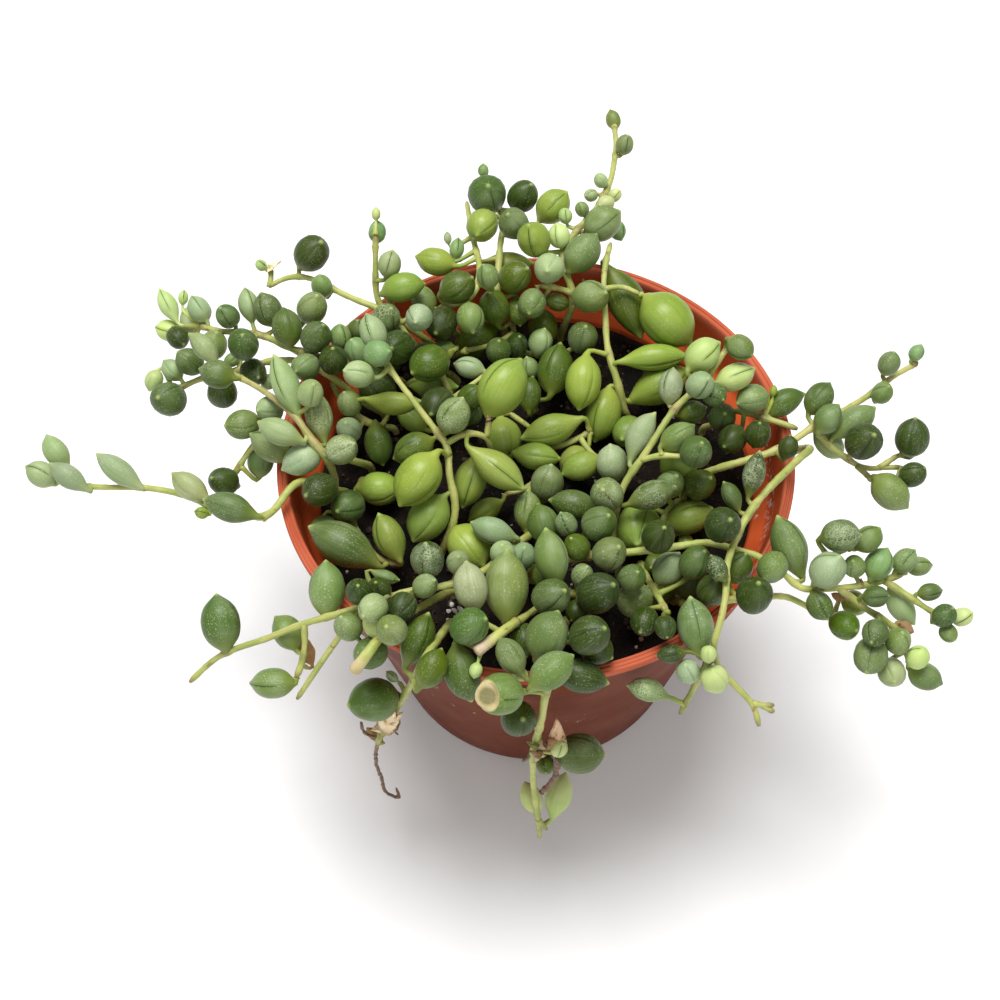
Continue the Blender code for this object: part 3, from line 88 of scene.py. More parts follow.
STRANDS = {
    "left_runner": ("""
350 497 66, 328 487 75, 308 479 81, 292 483 83, 278 503 82.5, 264 516 81, 236 510 79, 208 503 77,
176 492 75, 143 487 73, 110 487 71, 84 486 70, 60 481 69""", """
40 475 26 27 466 frosted, 57 450 24 46 434 frosted, 73 478 23 53 464 frosted,
121 472 24 97 454 frosted, 191 486 26 173 473 frosted, 201 513 12 195 511 olive,
232 508 30 204 499 moss"""),
    "left_low_strand": ("""
372 470 66, 350 460 76, 322 452 80, 292 444 81.5, 266 438 80, 250 448 78, 239 466 76, 232 476 75""", """
224 482 28 214 478 dark, 256 457 27 259 438 moss, 242 422 30 226 426, 268 408 25 259 411 frosted,
277 451 29 256 438"""),
    "left_crown": ("""
338 524 66, 335 499 74, 333 472 81, 322 452 86, 310 440 88, 298 420 90, 278 402 90, 258 388 89,
238 377 88, 226 371 87""", """
219 374 29 201 369 moss, 202 349 22 188 333 frosted, 287 386 28 274 354 frosted, 317 415 28 311 387,
282 433 27 259 423 frosted, 306 469 31 286 480 frosted, 341 450 30 356 444, 313 396 26 318 386 frosted,
319 488 33 308 495 dark"""),
    "upper_left_strand": ("""
404 386 66, 380 374 76, 345 362 82, 312 355 83.5, 290 348 84, 265 336 83, 245 332 82, 217 331 80,
200 325 79""", """
170 306 19 161 289 pale, 184 298 10 185 290 pale, 200 310 22 192 297 frosted,
191 320 22 189 304 frosted, 168 329 22 154 325 pale, 179 338 22 187 346 dark, 214 345 27 220 333,
228 316 23 223 309 moss, 248 305 21 244 287 frosted, 268 309 29 262 293 moss, 303 310 30 312 298,
292 329 30 288 309 moss, 316 338 30 326 327 moss, 332 358 28 334 349 dark, 307 367 27 300 372,
251 353 30 251 345 moss, 341 336 22 342 324, 352 329 20 354 321 moss, 357 352 25 352 342 teal"""),
    "upper_left_low_strand": ("""
386 418 66, 360 400 74, 332 378 80, 300 362 80, 268 362 79, 237 371 77.5, 206 377 76.5, 184 386 76,
174 390 75.5""", """
172 370 20 163 360 frosted, 191 361 26 182 352 moss, 154 380 18 149 391 pale, 169 400 34 163 399 moss,
253 368 26 262 376 dark, 266 380 16 261 384, 233 361 14 227 366, 223 391 30 226 381 dark"""),
    "top_left_runner": ("""
442 356 66, 424 338 76, 400 320 82, 380 309 83.5, 357 300 84, 339 292 84, 316 280 83, 296 276 82,
280 280 81, 269 287 80 /
269 287 80, 272 276 81.5, 270 267 83""", """
311 256 34 324 245 dark, 324 286 21 322 276, 262 265 11 259 261 pale, 275 266 8 281 261 dry"""),
    "upright_shoot": ("""
418 362 66, 402 338 74, 386 314 80, 377 298 82.5, 376 275 87, 376 252 91, 376 236 94""", """
376 231 18 376 219 teal, 376 214 9 376 207 pale, 386 266 23 390 253 frosted, 397 372 28 392 386 dark"""),
    "back_left_shoot": ("""
458 384 66, 440 366 75, 420 348 80, 404 330 83, 396 310 85, 388 294 86""", """
404 289 29 426 284 olive, 417 323 27 417 330 frosted, 389 322 29 395 311 moss, 406 347 34 400 352 dark,
428 350 24 437 345 dark"""),
    "centre_left_strand": ("""
440 560 66, 446 541 73, 454 520 77, 455 500 80, 449 478 83, 448 460 85, 447 445 86.5, 435 430 88,
416 405 91, 400 384 93, 389 368 94, 382 358 94.5 /
447 446 86.5, 452 440 87.5, 462 433 88, 475 433 87.5, 487 437 85.5, 491 452 81 /
487 437 85.5, 486 427 87, 489 420 88""", """
372 332 27 365 313 frosted, 378 354 27 391 353 teal, 361 372 27 347 369 frosted,
413 450 33 393 460 deep, 421 484 44 403 510 olive, 429 520 40 413 543 olive, 467 545 42 482 564 olive,
505 387 47 522 358 olive, 497 469 34 525 490 olive, 470 482 33 462 509 olive, 455 415 33 464 398"""),
    "inner_left_strand": ("""
396 432 66, 382 427 71, 362 420 74, 344 404 76, 331 382 76""", """
350 403 24 346 393, 351 428 25 348 422 frosted, 395 398 24 424 399 olive, 377 448 28 381 470 moss,
374 389 36 362 376 dark"""),
    "inner_left_low_strand": ("""
364 482 66, 357 492 70, 351 508 72, 356 530 73, 380 560 74, 400 563 74""", """
377 490 34 398 491 olive, 347 511 32 338 516 moss, 349 543 42 314 523 moss, 392 537 31 381 513 olive,
310 533 16 305 545, 329 524 28 318 524"""),
    "centre_back_strand": ("""
448 428 66, 452 420 71, 452 400 76, 446 385 79, 440 368 80, 450 352 80.5 /
452 400 76, 470 386 78, 486 374 79""", """
473 414 18 478 405 moss, 471 396 25 480 386 deep, 434 384 27 459 385 olive, 413 418 26 399 406 olive,
469 368 22 453 364 frosted, 430 364 36 413 374 deep, 440 344 18 428 344, 437 404 34 430 416 dark"""),
    "back_strand_left": ("""
464 347 66, 452 328 76, 437 311 82.5, 455 304 84.5, 472 298 86, 479 284 87, 481 268 87.5, 477 250 87,
472 228 86, 467 202 85""", """
424 299 25 416 284, 459 290 32 476 282 deep, 469 317 28 472 333, 490 282 22 486 272,
435 261 28 415 256 olive, 456 248 15 458 237 teal, 448 238 8 447 231 frosted, 441 327 32 436 340 dark"""),
    "back_strand_middle": ("""
506 340 66, 501 318 76, 497 296 82, 498 270 85, 500 244 86.5, 503 222 86, 498 208 84.5, 489 192 83,
484 180 83 /
502 236 86.5, 520 238 86, 538 226 85""", """
483 171 11 483 164 teal, 489 197 38 491 194 moss, 522 196 30 531 187 dark, 512 226 30 506 220,
483 234 31 477 247 olive, 506 256 30 532 256 olive, 518 280 31 531 273 deep, 553 206 32 567 192 olive,
511 313 24 513 328 deep"""),
    "back_strand_right": ("""
560 340 66, 566 322 75, 573 304 81, 572 287 84, 565 270 86, 563 251 87.5, 574 234 88, 588 218 88,
600 204 88, 607 190 88, 612 176 88, 615 156 87, 616 142 87, 614 127 87 /
572 289 84, 584 293 84.5 /
572 288 84, 556 287 84.5, 538 286 84.5""", """
566 216 14 565 209 pale, 582 209 14 579 203, 602 223 34 619 213, 619 230 17 622 241 teal,
605 204 16 598 208 pale, 613 196 13 618 192 pale, 591 195 13 585 197 frosted,
601 181 14 597 176 frosted, 624 146 18 627 138, 613 119 15 610 109, 559 236 22 556 225 pale,
582 253 34 596 234, 548 268 30 545 275 frosted, 594 297 32 610 298, 535 238 33 529 229 olive,
531 300 28 527 313, 557 302 18 569 305 deep"""),
    "back_floor_strand": ("""
520 372 66, 522 362 71, 520 350 74, 515 335 76, 512 320 78 /
520 350 74, 553 356 75, 574 348 77 /
515 335 76, 495 342 76, 468 348 76 /
521 366 69, 530 388 71, 535 408 71""", """
538 325 31 536 305 deep, 495 306 30 491 291 deep, 478 335 33 501 319 deep, 500 350 25 501 342 moss,
519 346 22 522 338 dark, 542 346 24 546 333 frosted, 583 337 30 585 328 moss, 554 367 36 559 341 deep,
529 368 20 527 356, 535 394 24 537 376 deep"""),
    "back_right_strand": ("""
628 422 66, 624 410 71, 617 381 77, 607 348 81, 605 318 84, 603 290 86, 604 268 87.5, 607 254 88,
610 243 88 /
603 290 86, 620 286 85.5, 640 296 84""", """
582 388 36 578 416 olive, 604 413 36 596 441 olive, 624 299 40 643 337 deep, 666 322 50 689 346 olive,
654 361 27 689 358 olive, 660 383 38 690 367 olive, 629 433 31 619 441 olive"""),
    "right_crown": ("""
614 553 66, 615 540 71, 615 512 77, 620 496 80, 627 480 82, 643 458 85, 661 430 88, 676 408 90,
690 395 92, 705 382 93, 714 370 94, 722 358 95, 729 347 95 /
643 458 85, 662 455 86.5, 684 457 87""", """
646 437 28 659 412 frosted, 677 437 28 694 426, 697 450 32 700 443 moss, 692 408 24 707 404 deep,
674 387 25 676 368 frosted, 701 386 27 708 381 frosted, 715 394 24 722 400 moss,
705 357 32 721 343 pale, 736 374 28 756 366 pale, 739 352 25 750 361, 608 495 33 602 490,
652 494 29 676 485 moss, 574 506 30 548 500 moss"""),
    "right_inner_strand": ("""
702 432 66, 715 424 73, 728 413 79, 742 411 83, 763 418 85, 785 424 85.5, 798 429 85""", """
751 399 29 735 404, 788 405 27 809 393 moss, 727 416 27 728 412 moss, 755 436 26 756 425 dark,
732 437 28 722 446 dark, 774 391 8 775 385 olive"""),
    "right_upper_runner": ("""
668 488 66, 692 478 74, 718 468 80, 743 461 83, 776 450 85, 797 438 86, 812 427 86.5, 837 414 86,
870 394 85, 893 376 84, 916 363 83 /
812 428 86.5, 828 444 85, 845 456 83.5, 865 469 82, 886 468 81.5, 904 468 81 /
886 468 81.5, 900 454 82 /
862 467 82, 872 479 81.5""", """
821 399 28 832 383 moss, 826 418 27 836 404, 855 422 29 876 407, 889 363 22 893 352,
916 353 15 921 345 teal, 882 394 21 886 387, 826 446 26 840 460 frosted, 862 442 36 868 435 dark,
787 447 20 789 435 dark, 912 437 34 912 418 dark, 912 474 25 923 468 dark, 891 492 34 908 508"""),
    "right_crossing_strand": ("""
775 462 66, 800 449 76, 811 449 84, 800 458 88, 789 469 89, 763 495 89, 745 520 89, 733 546 89,
726 568 89, 726 592 88, 720 622 86, 713 645 83, 716 662 78, 724 673 74, 738 689 71, 753 704 69,
759 726 66 /
753 704 69, 764 706 68.5, 774 705 69 /
764 706 68.5, 774 712 68 /
714 648 83, 702 672 76, 690 695 71, 680 714 67""", """
754 474 23 760 450 dark, 731 496 19 723 481 moss, 724 524 36 728 519 dark, 719 569 20 712 556 dark,
693 627 37 688 597, 707 652 16 706 644 pale, 687 668 24 683 660 frosted, 710 671 27 706 661 pale,
647 691 24 626 685, 674 653 19 659 655 dark"""),
    "right_middle_strand": ("""
532 580 66, 532 570 74, 556 562 80, 590 556 83, 628 553 84.5, 652 550 85, 677 547 85.5, 710 543 85.5,
738 551 85, 756 555 84.5, 776 568 84, 792 580 83, 799 590 82.5, 815 589 82, 842 588 81, 876 583 80,
904 573 79 /
885 581 79.5, 900 590 79, 915 600 78, 930 611 77, 944 617 76 /
815 589 82, 818 572 84, 830 556 85, 850 548 85.5 /
840 588 81, 855 600 79.5, 870 612 78, 890 623 76, 904 638 74, 910 652 72.5, 914 665 71""", """
543 523 32 538 503 moss, 568 523 22 562 512, 593 529 34 604 520 moss, 610 556 33 619 548,
627 574 27 634 568 moss, 659 538 33 663 527 dark, 770 568 30 760 580, 790 548 36 777 516,
841 538 33 860 536 moss, 868 538 26 879 527, 826 569 35 836 555 frosted, 854 568 22 850 560,
879 564 28 888 548 teal, 905 560 23 914 549, 920 566 20 934 565, 820 606 26 826 619 moss,
875 597 22 887 596 moss, 907 605 26 920 625 frosted, 930 592 18 943 590 moss, 942 615 23 949 607 moss,
963 617 19 971 612 pale, 949 633 18 952 640, 869 633 26 862 641 moss, 896 640 26 897 631,
873 658 34 866 672, 914 657 23 918 648 pale, 544 576 26 540 588 deep, 578 546 26 571 536 deep,
893 671 28 892 679 frosted, 926 675 28 943 683, 842 597 11 835 593 withered,
906 629 12 913 634 withered"""),
    "right_low_strand": ("""
674 602 66, 690 606 74, 710 603 80, 730 600 83, 750 597 83, 768 597 81.5, 789 597 79, 809 607 77,
835 620 75""", """
750 589 36 753 577 dark, 861 605 25 866 612 olive, 850 625 29 858 630 lime, 669 599 24 684 592 lime,
739 567 30 746 552 deep, 710 586 30 714 574 dark, 689 582 32 694 566 moss"""),
    "right_front_strand": ("""
640 566 66, 647 578 73, 655 590 78, 661 602 81, 667 613 83""", """
674 570 31 685 554 frosted, 632 599 36 639 594, 667 626 22 668 636 dark, 697 566 32 705 552 moss,
647 569 22 640 574 deep, 645 622 28 640 632 dark"""),
    "right_floor_strand": ("""
668 545 66, 662 530 71, 668 510 73, 684 500 74""", """
641 528 44 634 546 olive, 688 515 34 711 506 olive, 685 538 15 690 546 olive, 671 481 27 678 474,
679 467 38 680 450 olive, 695 487 30 706 480 deep"""),
    "centre_floor_strand": ("""
545 442 66, 552 448 70, 575 440 72, 590 432 73 /
548 446 68, 541 465 71, 530 487 72, 505 494 72 /
575 440 72, 592 455 72, 616 470 72 /
552 448 70, 532 430 72, 508 414 74""", """
551 428 32 520 438 olive, 508 437 36 512 460 olive, 537 457 28 561 460 olive, 579 447 26 566 458 olive,
582 465 29 563 473 olive, 547 482 33 551 464, 607 463 31 606 444 frosted, 629 465 20 633 457,
485 511 24 468 521 olive"""),
    "front_left_runner": ("""
548 526 66, 531 534 73, 512 548 79, 487 569 83, 454 584 85, 416 590 85, 385 599 84, 361 607 83.5,
330 616 82, 296 626 80, 268 638 77, 240 647 75, 219 656 73, 203 669 71, 190 682 69 /
361 607 83.5, 349 622 81.5, 338 638 79, 320 664 75, 297 699 70 /
300 626 80, 305 642 77, 303 660 74, 296 678 72""", """
222 623 39 217 594 moss, 283 635 30 272 618, 325 591 37 325 562, 272 683 31 249 683,
301 652 17 297 638 withered, 362 591 26 365 583 dark, 378 592 24 375 583 dark, 385 576 14 400 581,
420 592 24 430 585, 427 562 34 426 547 dark, 458 566 24 460 558 frosted, 492 531 27 469 523 frosted,
505 556 26 503 546 frosted, 520 558 26 522 548 frosted, 527 510 28 528 489, 410 606 28 404 616 dark,
378 613 28 370 620 frosted"""),
    "front_left_stub": ("""
462 602 66, 451 592 75, 433 600 80, 413 612 82.5, 395 622 82.5, 381 631 81.5, 370 646 79, 357 669 75""", """
349 625 28 343 614, 380 623 26 388 630 pale, 403 626 30 399 620, 370 652 32 358 658 moss,
383 628 9 385 624 pale"""),
    "front_left_hanging": ("""
452 625 66, 444 628 75, 432 642 81, 422 656 82.5, 414 673 79, 404 692 68, 393 712 58, 384 729 49,
377 743 43, 379 760 34, 383 780 23, 398 797 15""", """
428 648 33 440 621 deep, 439 662 30 450 643 deep, 375 695 44 352 698 moss, 388 719 19 378 708 dry,
374 737 15 366 730 withered, 389 682 10 383 677 frosted"""),
    "front_centre_strand": ("""
562 588 66, 550 600 74, 535 610 79, 520 620 81.5, 506 629 82, 494 638 81.5, 479 651 80""", """
473 584 34 468 559 frosted, 510 588 45 510 550, 472 631 36 487 621 moss, 473 666 13 471 674 pale,
466 672 36 474 701 moss, 519 634 30 522 650 dark"""),
    "front_middle_strand": ("""
612 596 66, 603 600 73, 588 598 78, 570 592 81.5, 558 600 83.5, 552 615 84.5, 550 632 84, 548 648 83.5""", """
556 556 34 550 526, 549 600 37 562 593 moss, 549 635 42 560 611, 596 588 40 611 579 dark,
577 611 22 571 620 dark, 589 634 39 602 625 dark, 584 574 22 589 565, 596 650 32 612 660 dark"""),
    "front_hanging": ("""
566 622 66, 562 638 75, 556 654 81.5, 550 669 83.5, 547 684 82.5, 544 700 77, 541 719 69.5,
536 740 60.5, 533 753 55, 533 780 42, 535 800 31, 538 820 20, 540 837 9 /
539 817 22, 546 829 15""", """
551 664 35 572 648, 513 656 28 502 638, 579 673 34 609 681 dark, 519 675 14 511 670 pale,
503 687 42 483 687 scarred, 520 719 36 524 716 dark, 580 756 41 604 754 moss, 560 747 18 563 741 pale,
556 734 20 553 722 dry, 544 765 18 546 772 deep, 532 800 22 525 784 pale, 559 795 27 566 772 pale"""),
}


def numbers_of(text):
    """Rows of a table, its numbers as numbers and its words as words."""
    rows = [row.split() for row in text.split(",")]
    return [[item if item.isalpha() else float(item) for item in row] for row in rows]


# Room that each strand needs: balls along stems, leaves and stalks, as (place, share of the radius), the
# gaps that they keep and how strongly they push

SAMPLE_STEP = 2.4
CURVE_STEPS = 12
ROUNDS = 420
LIST_EVERY = 10
NEAR = 3.0
STEM, FOOT, BODY, STALK = range(4)
LEAF_BALLS = ((0.2, 0.74), (0.42, 1.0), (0.64, 0.92), (0.84, 0.6))
STALK_BALLS = (0.25, 0.5, 0.75, 1.0)
SHORTEST_LEAF = 1.28
SIDEWAYS = 0.3
SOIL_RADIUS = 46.0
SOIL_CLEARANCE = 1.2
FOOT_SHARE = 0.7
OWN_GAP = 0.1
TABLE_GAP = 0.6
DEPTH_SHARE = 0.6
PUSH = 0.55
WALL_PUSH = 1.4
STEM_GIVE = 0.8
RETURN = 0.998
TINY = 1e-6

# Inner wall, collar, lip and outer wall of the pot as (radius, height, half thickness)

WALL = [(51.4, 78.0, 1.3), (50.6, 76.0, 0.9), (50.1, 73.5, 0.9), (49.6, 71.0, 0.9), (49.2, 68.8, 0.9),
        (48.0, 67.3, 1.0), (46.6, 66.4, 0.9)]
WALL += [(34.2 + 12.3 * k / 16, 1.0 + 65.0 * k / 16, 0.9) for k in range(16)]


def run_along(line):
    """How far along a line each of its points lies."""
    return np.concatenate([[0.0], np.cumsum(np.linalg.norm(np.diff(line, axis=0), axis=1))])


def resample(line, least, count_of):
    """Evenly spaced points along a line, and how far along it each one lies."""
    run = run_along(line)
    places = np.linspace(0.0, run[-1], max(least, count_of(run[-1])))
    return places, np.stack([np.interp(places, run, line[:, k]) for k in range(3)], axis=1)


def smooth_route(points, step):
    """Evenly spaced points along a smooth curve through the given ones."""
    points = np.asarray(points, float)
    before = 2 * points[0] - points[1]
    after = 2 * points[-1] - points[-2]
    padded = np.vstack([before, points, after])
    fine = []
    for i in range(len(points) - 1):
        a, b, c, d = padded[i:i + 4]
        for t in np.linspace(0.0, 1.0, CURVE_STEPS, endpoint=False):
            fine.append(0.5 * (2 * b + (c - a) * t + (2 * a - 5 * b + 4 * c - d) * t ** 2
                               + (3 * b - a - 3 * c + d) * t ** 3))
    fine.append(points[-1])
    return resample(np.array(fine), 2, lambda length: int(round(length / step)) + 1)[1]


def draw_stems(routes):
    """Sampled routes of one strand, its root standing straight in the soil."""
    stems = []
    for number, route in enumerate(routes):
        points = [sight(u, v, height) for u, v, height in route]
        if number == 0:
            x, y = points[0][:2]
            points[0] = np.array([x, y, SOIL_TOP + ROOT_RISE])
            root = [[x, y, SOIL_TOP - ROOT_DEPTH], [x, y, SOIL_TOP - 0.4 * ROOT_DEPTH]]
            stems.append(np.vstack([root, smooth_route(points, SAMPLE_STEP)]))
        else:
            known = np.vstack(stems)
            points[0] = known[np.argmin(np.linalg.norm(known - points[0], axis=1))]
            stems.append(smooth_route(points, SAMPLE_STEP))
    return stems


def place_leaf(entry, samples, first):
    """One leaf, its foot at the nearest point of the stem as the photograph shows it."""
    u, v, width, tip_u, tip_v = entry[:5]
    foot = np.array([2.0 * u - tip_u, 2.0 * v - tip_v])
    away = np.linalg.norm(pixel_of(samples) - foot, axis=1)
    buried = (samples[:, 2] < SOIL_TOP + 1.0) & (np.hypot(samples[:, 0], samples[:, 1]) < SOIL_RADIUS)
    away[buried] = 1e9
    seat = int(np.argmin(away))
    depth = depth_of(samples[seat])
    scale = depth / FOCAL_PIXELS
    radius = 0.5 * width * scale
    lean = np.array([tip_u - u, v - tip_v]) * scale
    half = max(SHORTEST_LEAF * radius, float(np.hypot(*lean)))
    forward = math.sqrt(max(half ** 2 - float(lean @ lean), 0.0))
    axis = (RIGHT * lean[0] + UP * lean[1] - AHEAD * forward) / half
    middle = EYE + ray(u, v) * (depth - forward)
    return {"seat": first + seat, "radius": radius, "half": half, "axis": axis, "middle": middle}


def may_touch(owners, kinds, strands):
    """Which pairs of balls have to keep apart, wherever they are."""
    pairs = np.triu(owners[:, None] != owners[None], 1)
    same = strands[:, None] == strands[None]
    stem = kinds == STEM
    stalk = kinds == STALK
    pairs &= ~(same & stem[:, None] & stem[None])
    pairs &= ~(same & (stalk[:, None] | stalk[None]))
    return pairs


def near_pairs(balls, sizes, kinds, strands, pairs):
    """Pairs of balls close enough to meet soon, with the distance that each pair keeps."""
    square = (balls ** 2).sum(axis=1)
    gap = square[:, None] + square[None] - 2.0 * balls @ balls.T
    reach = sizes[:, None] + sizes[None] + NEAR
    first, second = np.nonzero(pairs & (gap < reach ** 2))
    alike = strands[first] == strands[second]
    with_stem = (kinds[first] == STEM) | (kinds[second] == STEM)
    with_foot = (kinds[first] == FOOT) | (kinds[second] == FOOT)
    keep = sizes[first] + sizes[second]
    own = np.where(with_stem, keep * np.where(with_foot, FOOT_SHARE, 1.0), keep + OWN_GAP)
    return first, second, np.where(alike, own, keep + GAP)


def pot_push(balls, sizes):
    """How far each ball has to move to clear the soil, the pot and the table."""
    move = np.zeros_like(balls)
    ring = np.hypot(balls[:, 0], balls[:, 1])
    low = SOIL_TOP + SOIL_CLEARANCE + sizes - balls[:, 2]
    inside = (ring < SOIL_RADIUS + 1.0) & (balls[:, 2] > SOIL_TOP - 8.0) & (low > 0)
    move[inside] -= np.outer(low[inside] / -AHEAD[2], AHEAD)
    under = TABLE_GAP + sizes - balls[:, 2]
    move[under > 0, 2] += under[under > 0]
    out = np.stack([balls[:, 0], balls[:, 1]], axis=1) / np.maximum(ring, TINY)[:, None]
    for radius, height, half in WALL:
        across = ring - radius
        over = balls[:, 2] - height
        gap = np.hypot(across, over)
        short = half + GAP + sizes - gap
        hit = short > 0
        strength = short[hit] / np.maximum(gap[hit], TINY) * 0.5
        move[hit, :2] += out[hit] * (across[hit] * strength)[:, None]
        move[hit, 2] += over[hit] * strength
    return move


def push_apart(balls, sizes, near, owners, weights, count):
    """How far each leaf and stem point moves to clear what it touches, mostly along the line of sight."""
    one, two, keep = near
    apart = balls[two] - balls[one]
    gap = np.linalg.norm(apart, axis=1)
    short = keep - gap
    hit = short > 0
    way = apart[hit] / np.maximum(gap[hit], TINY)[:, None]
    deeper = np.sign((way @ AHEAD) + 1e-9)
    way = way + DEPTH_SHARE * deeper[:, None] * AHEAD
    way /= np.linalg.norm(way, axis=1)[:, None]
    step = way * (PUSH * short[hit])[:, None]
    moves = np.zeros((count, 3))
    hits = np.zeros(count)
    for end, sign in ((one[hit], -1.0), (two[hit], 1.0)):
        np.add.at(moves, owners[end], sign * step * weights[end][:, None])
        np.add.at(hits, owners[end], 1.0)
    wall = pot_push(balls, sizes)
    touched = np.any(wall != 0, axis=1)
    np.add.at(moves, owners[touched], wall[touched] * WALL_PUSH)
    np.add.at(hits, owners[touched], 1.0)
    moves /= np.maximum(hits, 1.0)[:, None]
    depthwise = np.outer(moves @ AHEAD, AHEAD)
    return depthwise + SIDEWAYS * (moves - depthwise)


def plan_strands():
    """Every stem and leaf in its place, moved along the line of sight until nothing overlaps."""
    stems, leaves, stem_strand, leaf_strand = [], [], [], []
    first = 0
    for number, (routes, entries) in enumerate(STRANDS.values()):
        drawn = draw_stems(map(numbers_of, routes.split("/")))
        entries = numbers_of(entries)
        samples = np.vstack(drawn)
        leaves += [place_leaf(entry, samples, first) for entry in entries]
        leaf_strand += [number] * len(entries)
        stems += drawn
        stem_strand += [number] * len(drawn)
        first += len(samples)
    lengths = [len(stem) for stem in stems]
    starts = np.concatenate([[0], np.cumsum(lengths)])
    samples = np.vstack(stems)
    sample_strand = np.repeat(stem_strand, lengths)
    leaf_strand = np.array(leaf_strand)
    rooted = samples[:, 2] < SOIL_TOP + ROOT_RISE + 0.1
    rooted &= np.hypot(samples[:, 0], samples[:, 1]) < SOIL_RADIUS
    ties = []
    for k, start in enumerate(starts[:-1]):
        if k and stem_strand[k] == stem_strand[k - 1]:
            mates = np.nonzero((sample_strand == stem_strand[k]) & (np.arange(len(samples)) < start))[0]
            nearest = mates[np.argmin(np.linalg.norm(samples[mates] - samples[start], axis=1))]
            ties.append((start, nearest))

    keys = ("middle", "axis", "half", "radius", "seat")
    middle, axis, half, radius, seat = (np.array([leaf[key] for leaf in leaves]) for key in keys)
    leaf_shift = np.zeros_like(middle)
    stem_shift = np.zeros_like(samples)
    many, balls_each, stalks_each = len(leaves), len(LEAF_BALLS), len(STALK_BALLS)
    owner_leaf = np.repeat(np.arange(many), balls_each)
    owner_stalk = np.repeat(np.arange(many), stalks_each)
    sizes = np.concatenate([np.full(len(samples), STEM_RADIUS),
                            np.outer(radius, [size for _, size in LEAF_BALLS]).ravel(),
                            np.full(many * stalks_each, STALK_RADIUS)])
    body_kinds = [FOOT] + [BODY] * (balls_each - 1)
    kinds = np.concatenate([np.full(len(samples), STEM), np.tile(body_kinds, many),
                            np.full(many * stalks_each, STALK)])
    stem_owner = many + np.arange(len(samples))
    owners = np.concatenate([stem_owner, owner_leaf, owner_stalk])
    strands = np.concatenate([sample_strand, leaf_strand[owner_leaf], leaf_strand[owner_stalk]])
    along = np.array([2.0 * place - 1.0 for place, _ in LEAF_BALLS])
    weights = np.concatenate([np.ones(len(samples) + many * balls_each), np.tile(STALK_BALLS, many)])
    pairs = may_touch(owners, kinds, strands)

    def all_balls():
        stem = samples + stem_shift
        centre = middle + leaf_shift
        body = centre[:, None] + axis[:, None] * (half[:, None] * along)[:, :, None]
        foot = centre - axis * half[:, None]
        start = stem[seat]
        stalk = np.stack([start + (foot - start) * part for part in STALK_BALLS], axis=1)
        return np.vstack([stem, body.reshape(-1, 3), stalk.reshape(-1, 3)])

    for turn in range(ROUNDS):
        balls = all_balls()
        if turn % LIST_EVERY == 0:
            near = near_pairs(balls, sizes, kinds, strands, pairs)
        moves = push_apart(balls, sizes, near, owners, weights, many + len(samples))
        leaf_shift += moves[:many]
        leaf_shift *= RETURN
        stem_shift += moves[many:] * STEM_GIVE
        stem_shift[rooted] = 0.0
        for k in range(len(stems)):
            part = stem_shift[starts[k]:starts[k + 1]]
            if len(part) > 2:
                part[1:-1] = 0.5 * part[1:-1] + 0.25 * (part[:-2] + part[2:])
        stem_shift[rooted] = 0.0
        for start, nearest in ties:
            stem_shift[start] = stem_shift[nearest]

    stem = samples + stem_shift
    centre = middle + leaf_shift
    plan = {}
    for number, name in enumerate(STRANDS):
        routes = [stem[starts[k]:starts[k + 1]] for k in range(len(stems)) if stem_strand[k] == number]
        own = np.nonzero(leaf_strand == number)[0]
        plan[name] = (routes, [{"start": stem[seat[i]], "foot": centre[i] - axis[i] * half[i],
                                "tip": centre[i] + axis[i] * half[i], "radius": radius[i]} for i in own])
    return plan


# Kinds of leaf: linear colour and share of wax, which also sets how strongly the painted highlight shows

KINDS = {
    "waxy": ((0.152, 0.217, 0.056), 0.44),
    "moss": ((0.072, 0.122, 0.016), 0.32),
    "dark": ((0.031, 0.056, 0.000), 0.08),
    "frosted": ((0.300, 0.380, 0.185), 0.52),
    "pale": ((0.520, 0.620, 0.230), 0.3),
    "lime": ((0.080, 0.150, 0.002), 0.08),
    "teal": ((0.190, 0.320, 0.105), 0.35),
    "olive": ((0.250, 0.325, 0.046), 0.20),
    "deep": ((0.068, 0.108, 0.003), 0.16),
    "dry": ((0.920, 0.760, 0.500), 0.0),
    "withered": ((0.320, 0.190, 0.080), 0.0),
    "scarred": ((0.120, 0.195, 0.040), 0.2),
}

# Leaves with a net of pale corky lines, with a deep cleft and its share of the width, and with a husk
# in their place, by the pixel of their middle

NETTED = {(455, 415), (608, 495), (652, 494), (632, 599), (317, 415), (341, 450), (306, 469), (417, 323),
          (647, 691), (719, 569), (427, 562), (389, 322), (584, 574), (754, 474), (607, 463), (841, 538)}
CLEFTS = {(659, 538): 0.34, (841, 538): 0.2, (378, 592): 0.2, (362, 591): 0.2, (826, 418): 0.25}
HUSKED = {(388, 719), (556, 734)}

# Linear colours of stems, dry parts, scars and tips

STEM_TINT = np.array((0.430, 0.450, 0.110))
STEM_TAN = np.array((0.420, 0.290, 0.150))
JOINT_BROWN = np.array((0.170, 0.085, 0.040))
ROOT_BROWN = np.array((0.150, 0.075, 0.042))
PAPER = np.array((0.930, 0.760, 0.490))
PEACH = np.array((0.950, 0.660, 0.420))
PINK_END = np.array((0.700, 0.480, 0.400))
FOLD = np.array((0.560, 0.300, 0.150))
STUB_TAN = np.array((0.660, 0.450, 0.290))
CORK = np.array((0.640, 0.500, 0.280))
CORK_HEART = np.array((0.290, 0.235, 0.120))
TIP_TINT = np.array((0.450, 0.540, 0.150))

# Share of tan in the stems of some strands, and the kinds of leaf with the greener skin or with a dry one

TAN_STRANDS = {"left_crown": 0.6, "right_upper_runner": 0.3, "centre_left_strand": 0.2}
GREEN_SKINS = {"olive", "deep", "lime"}
PAPERY = {"dry", "withered"}

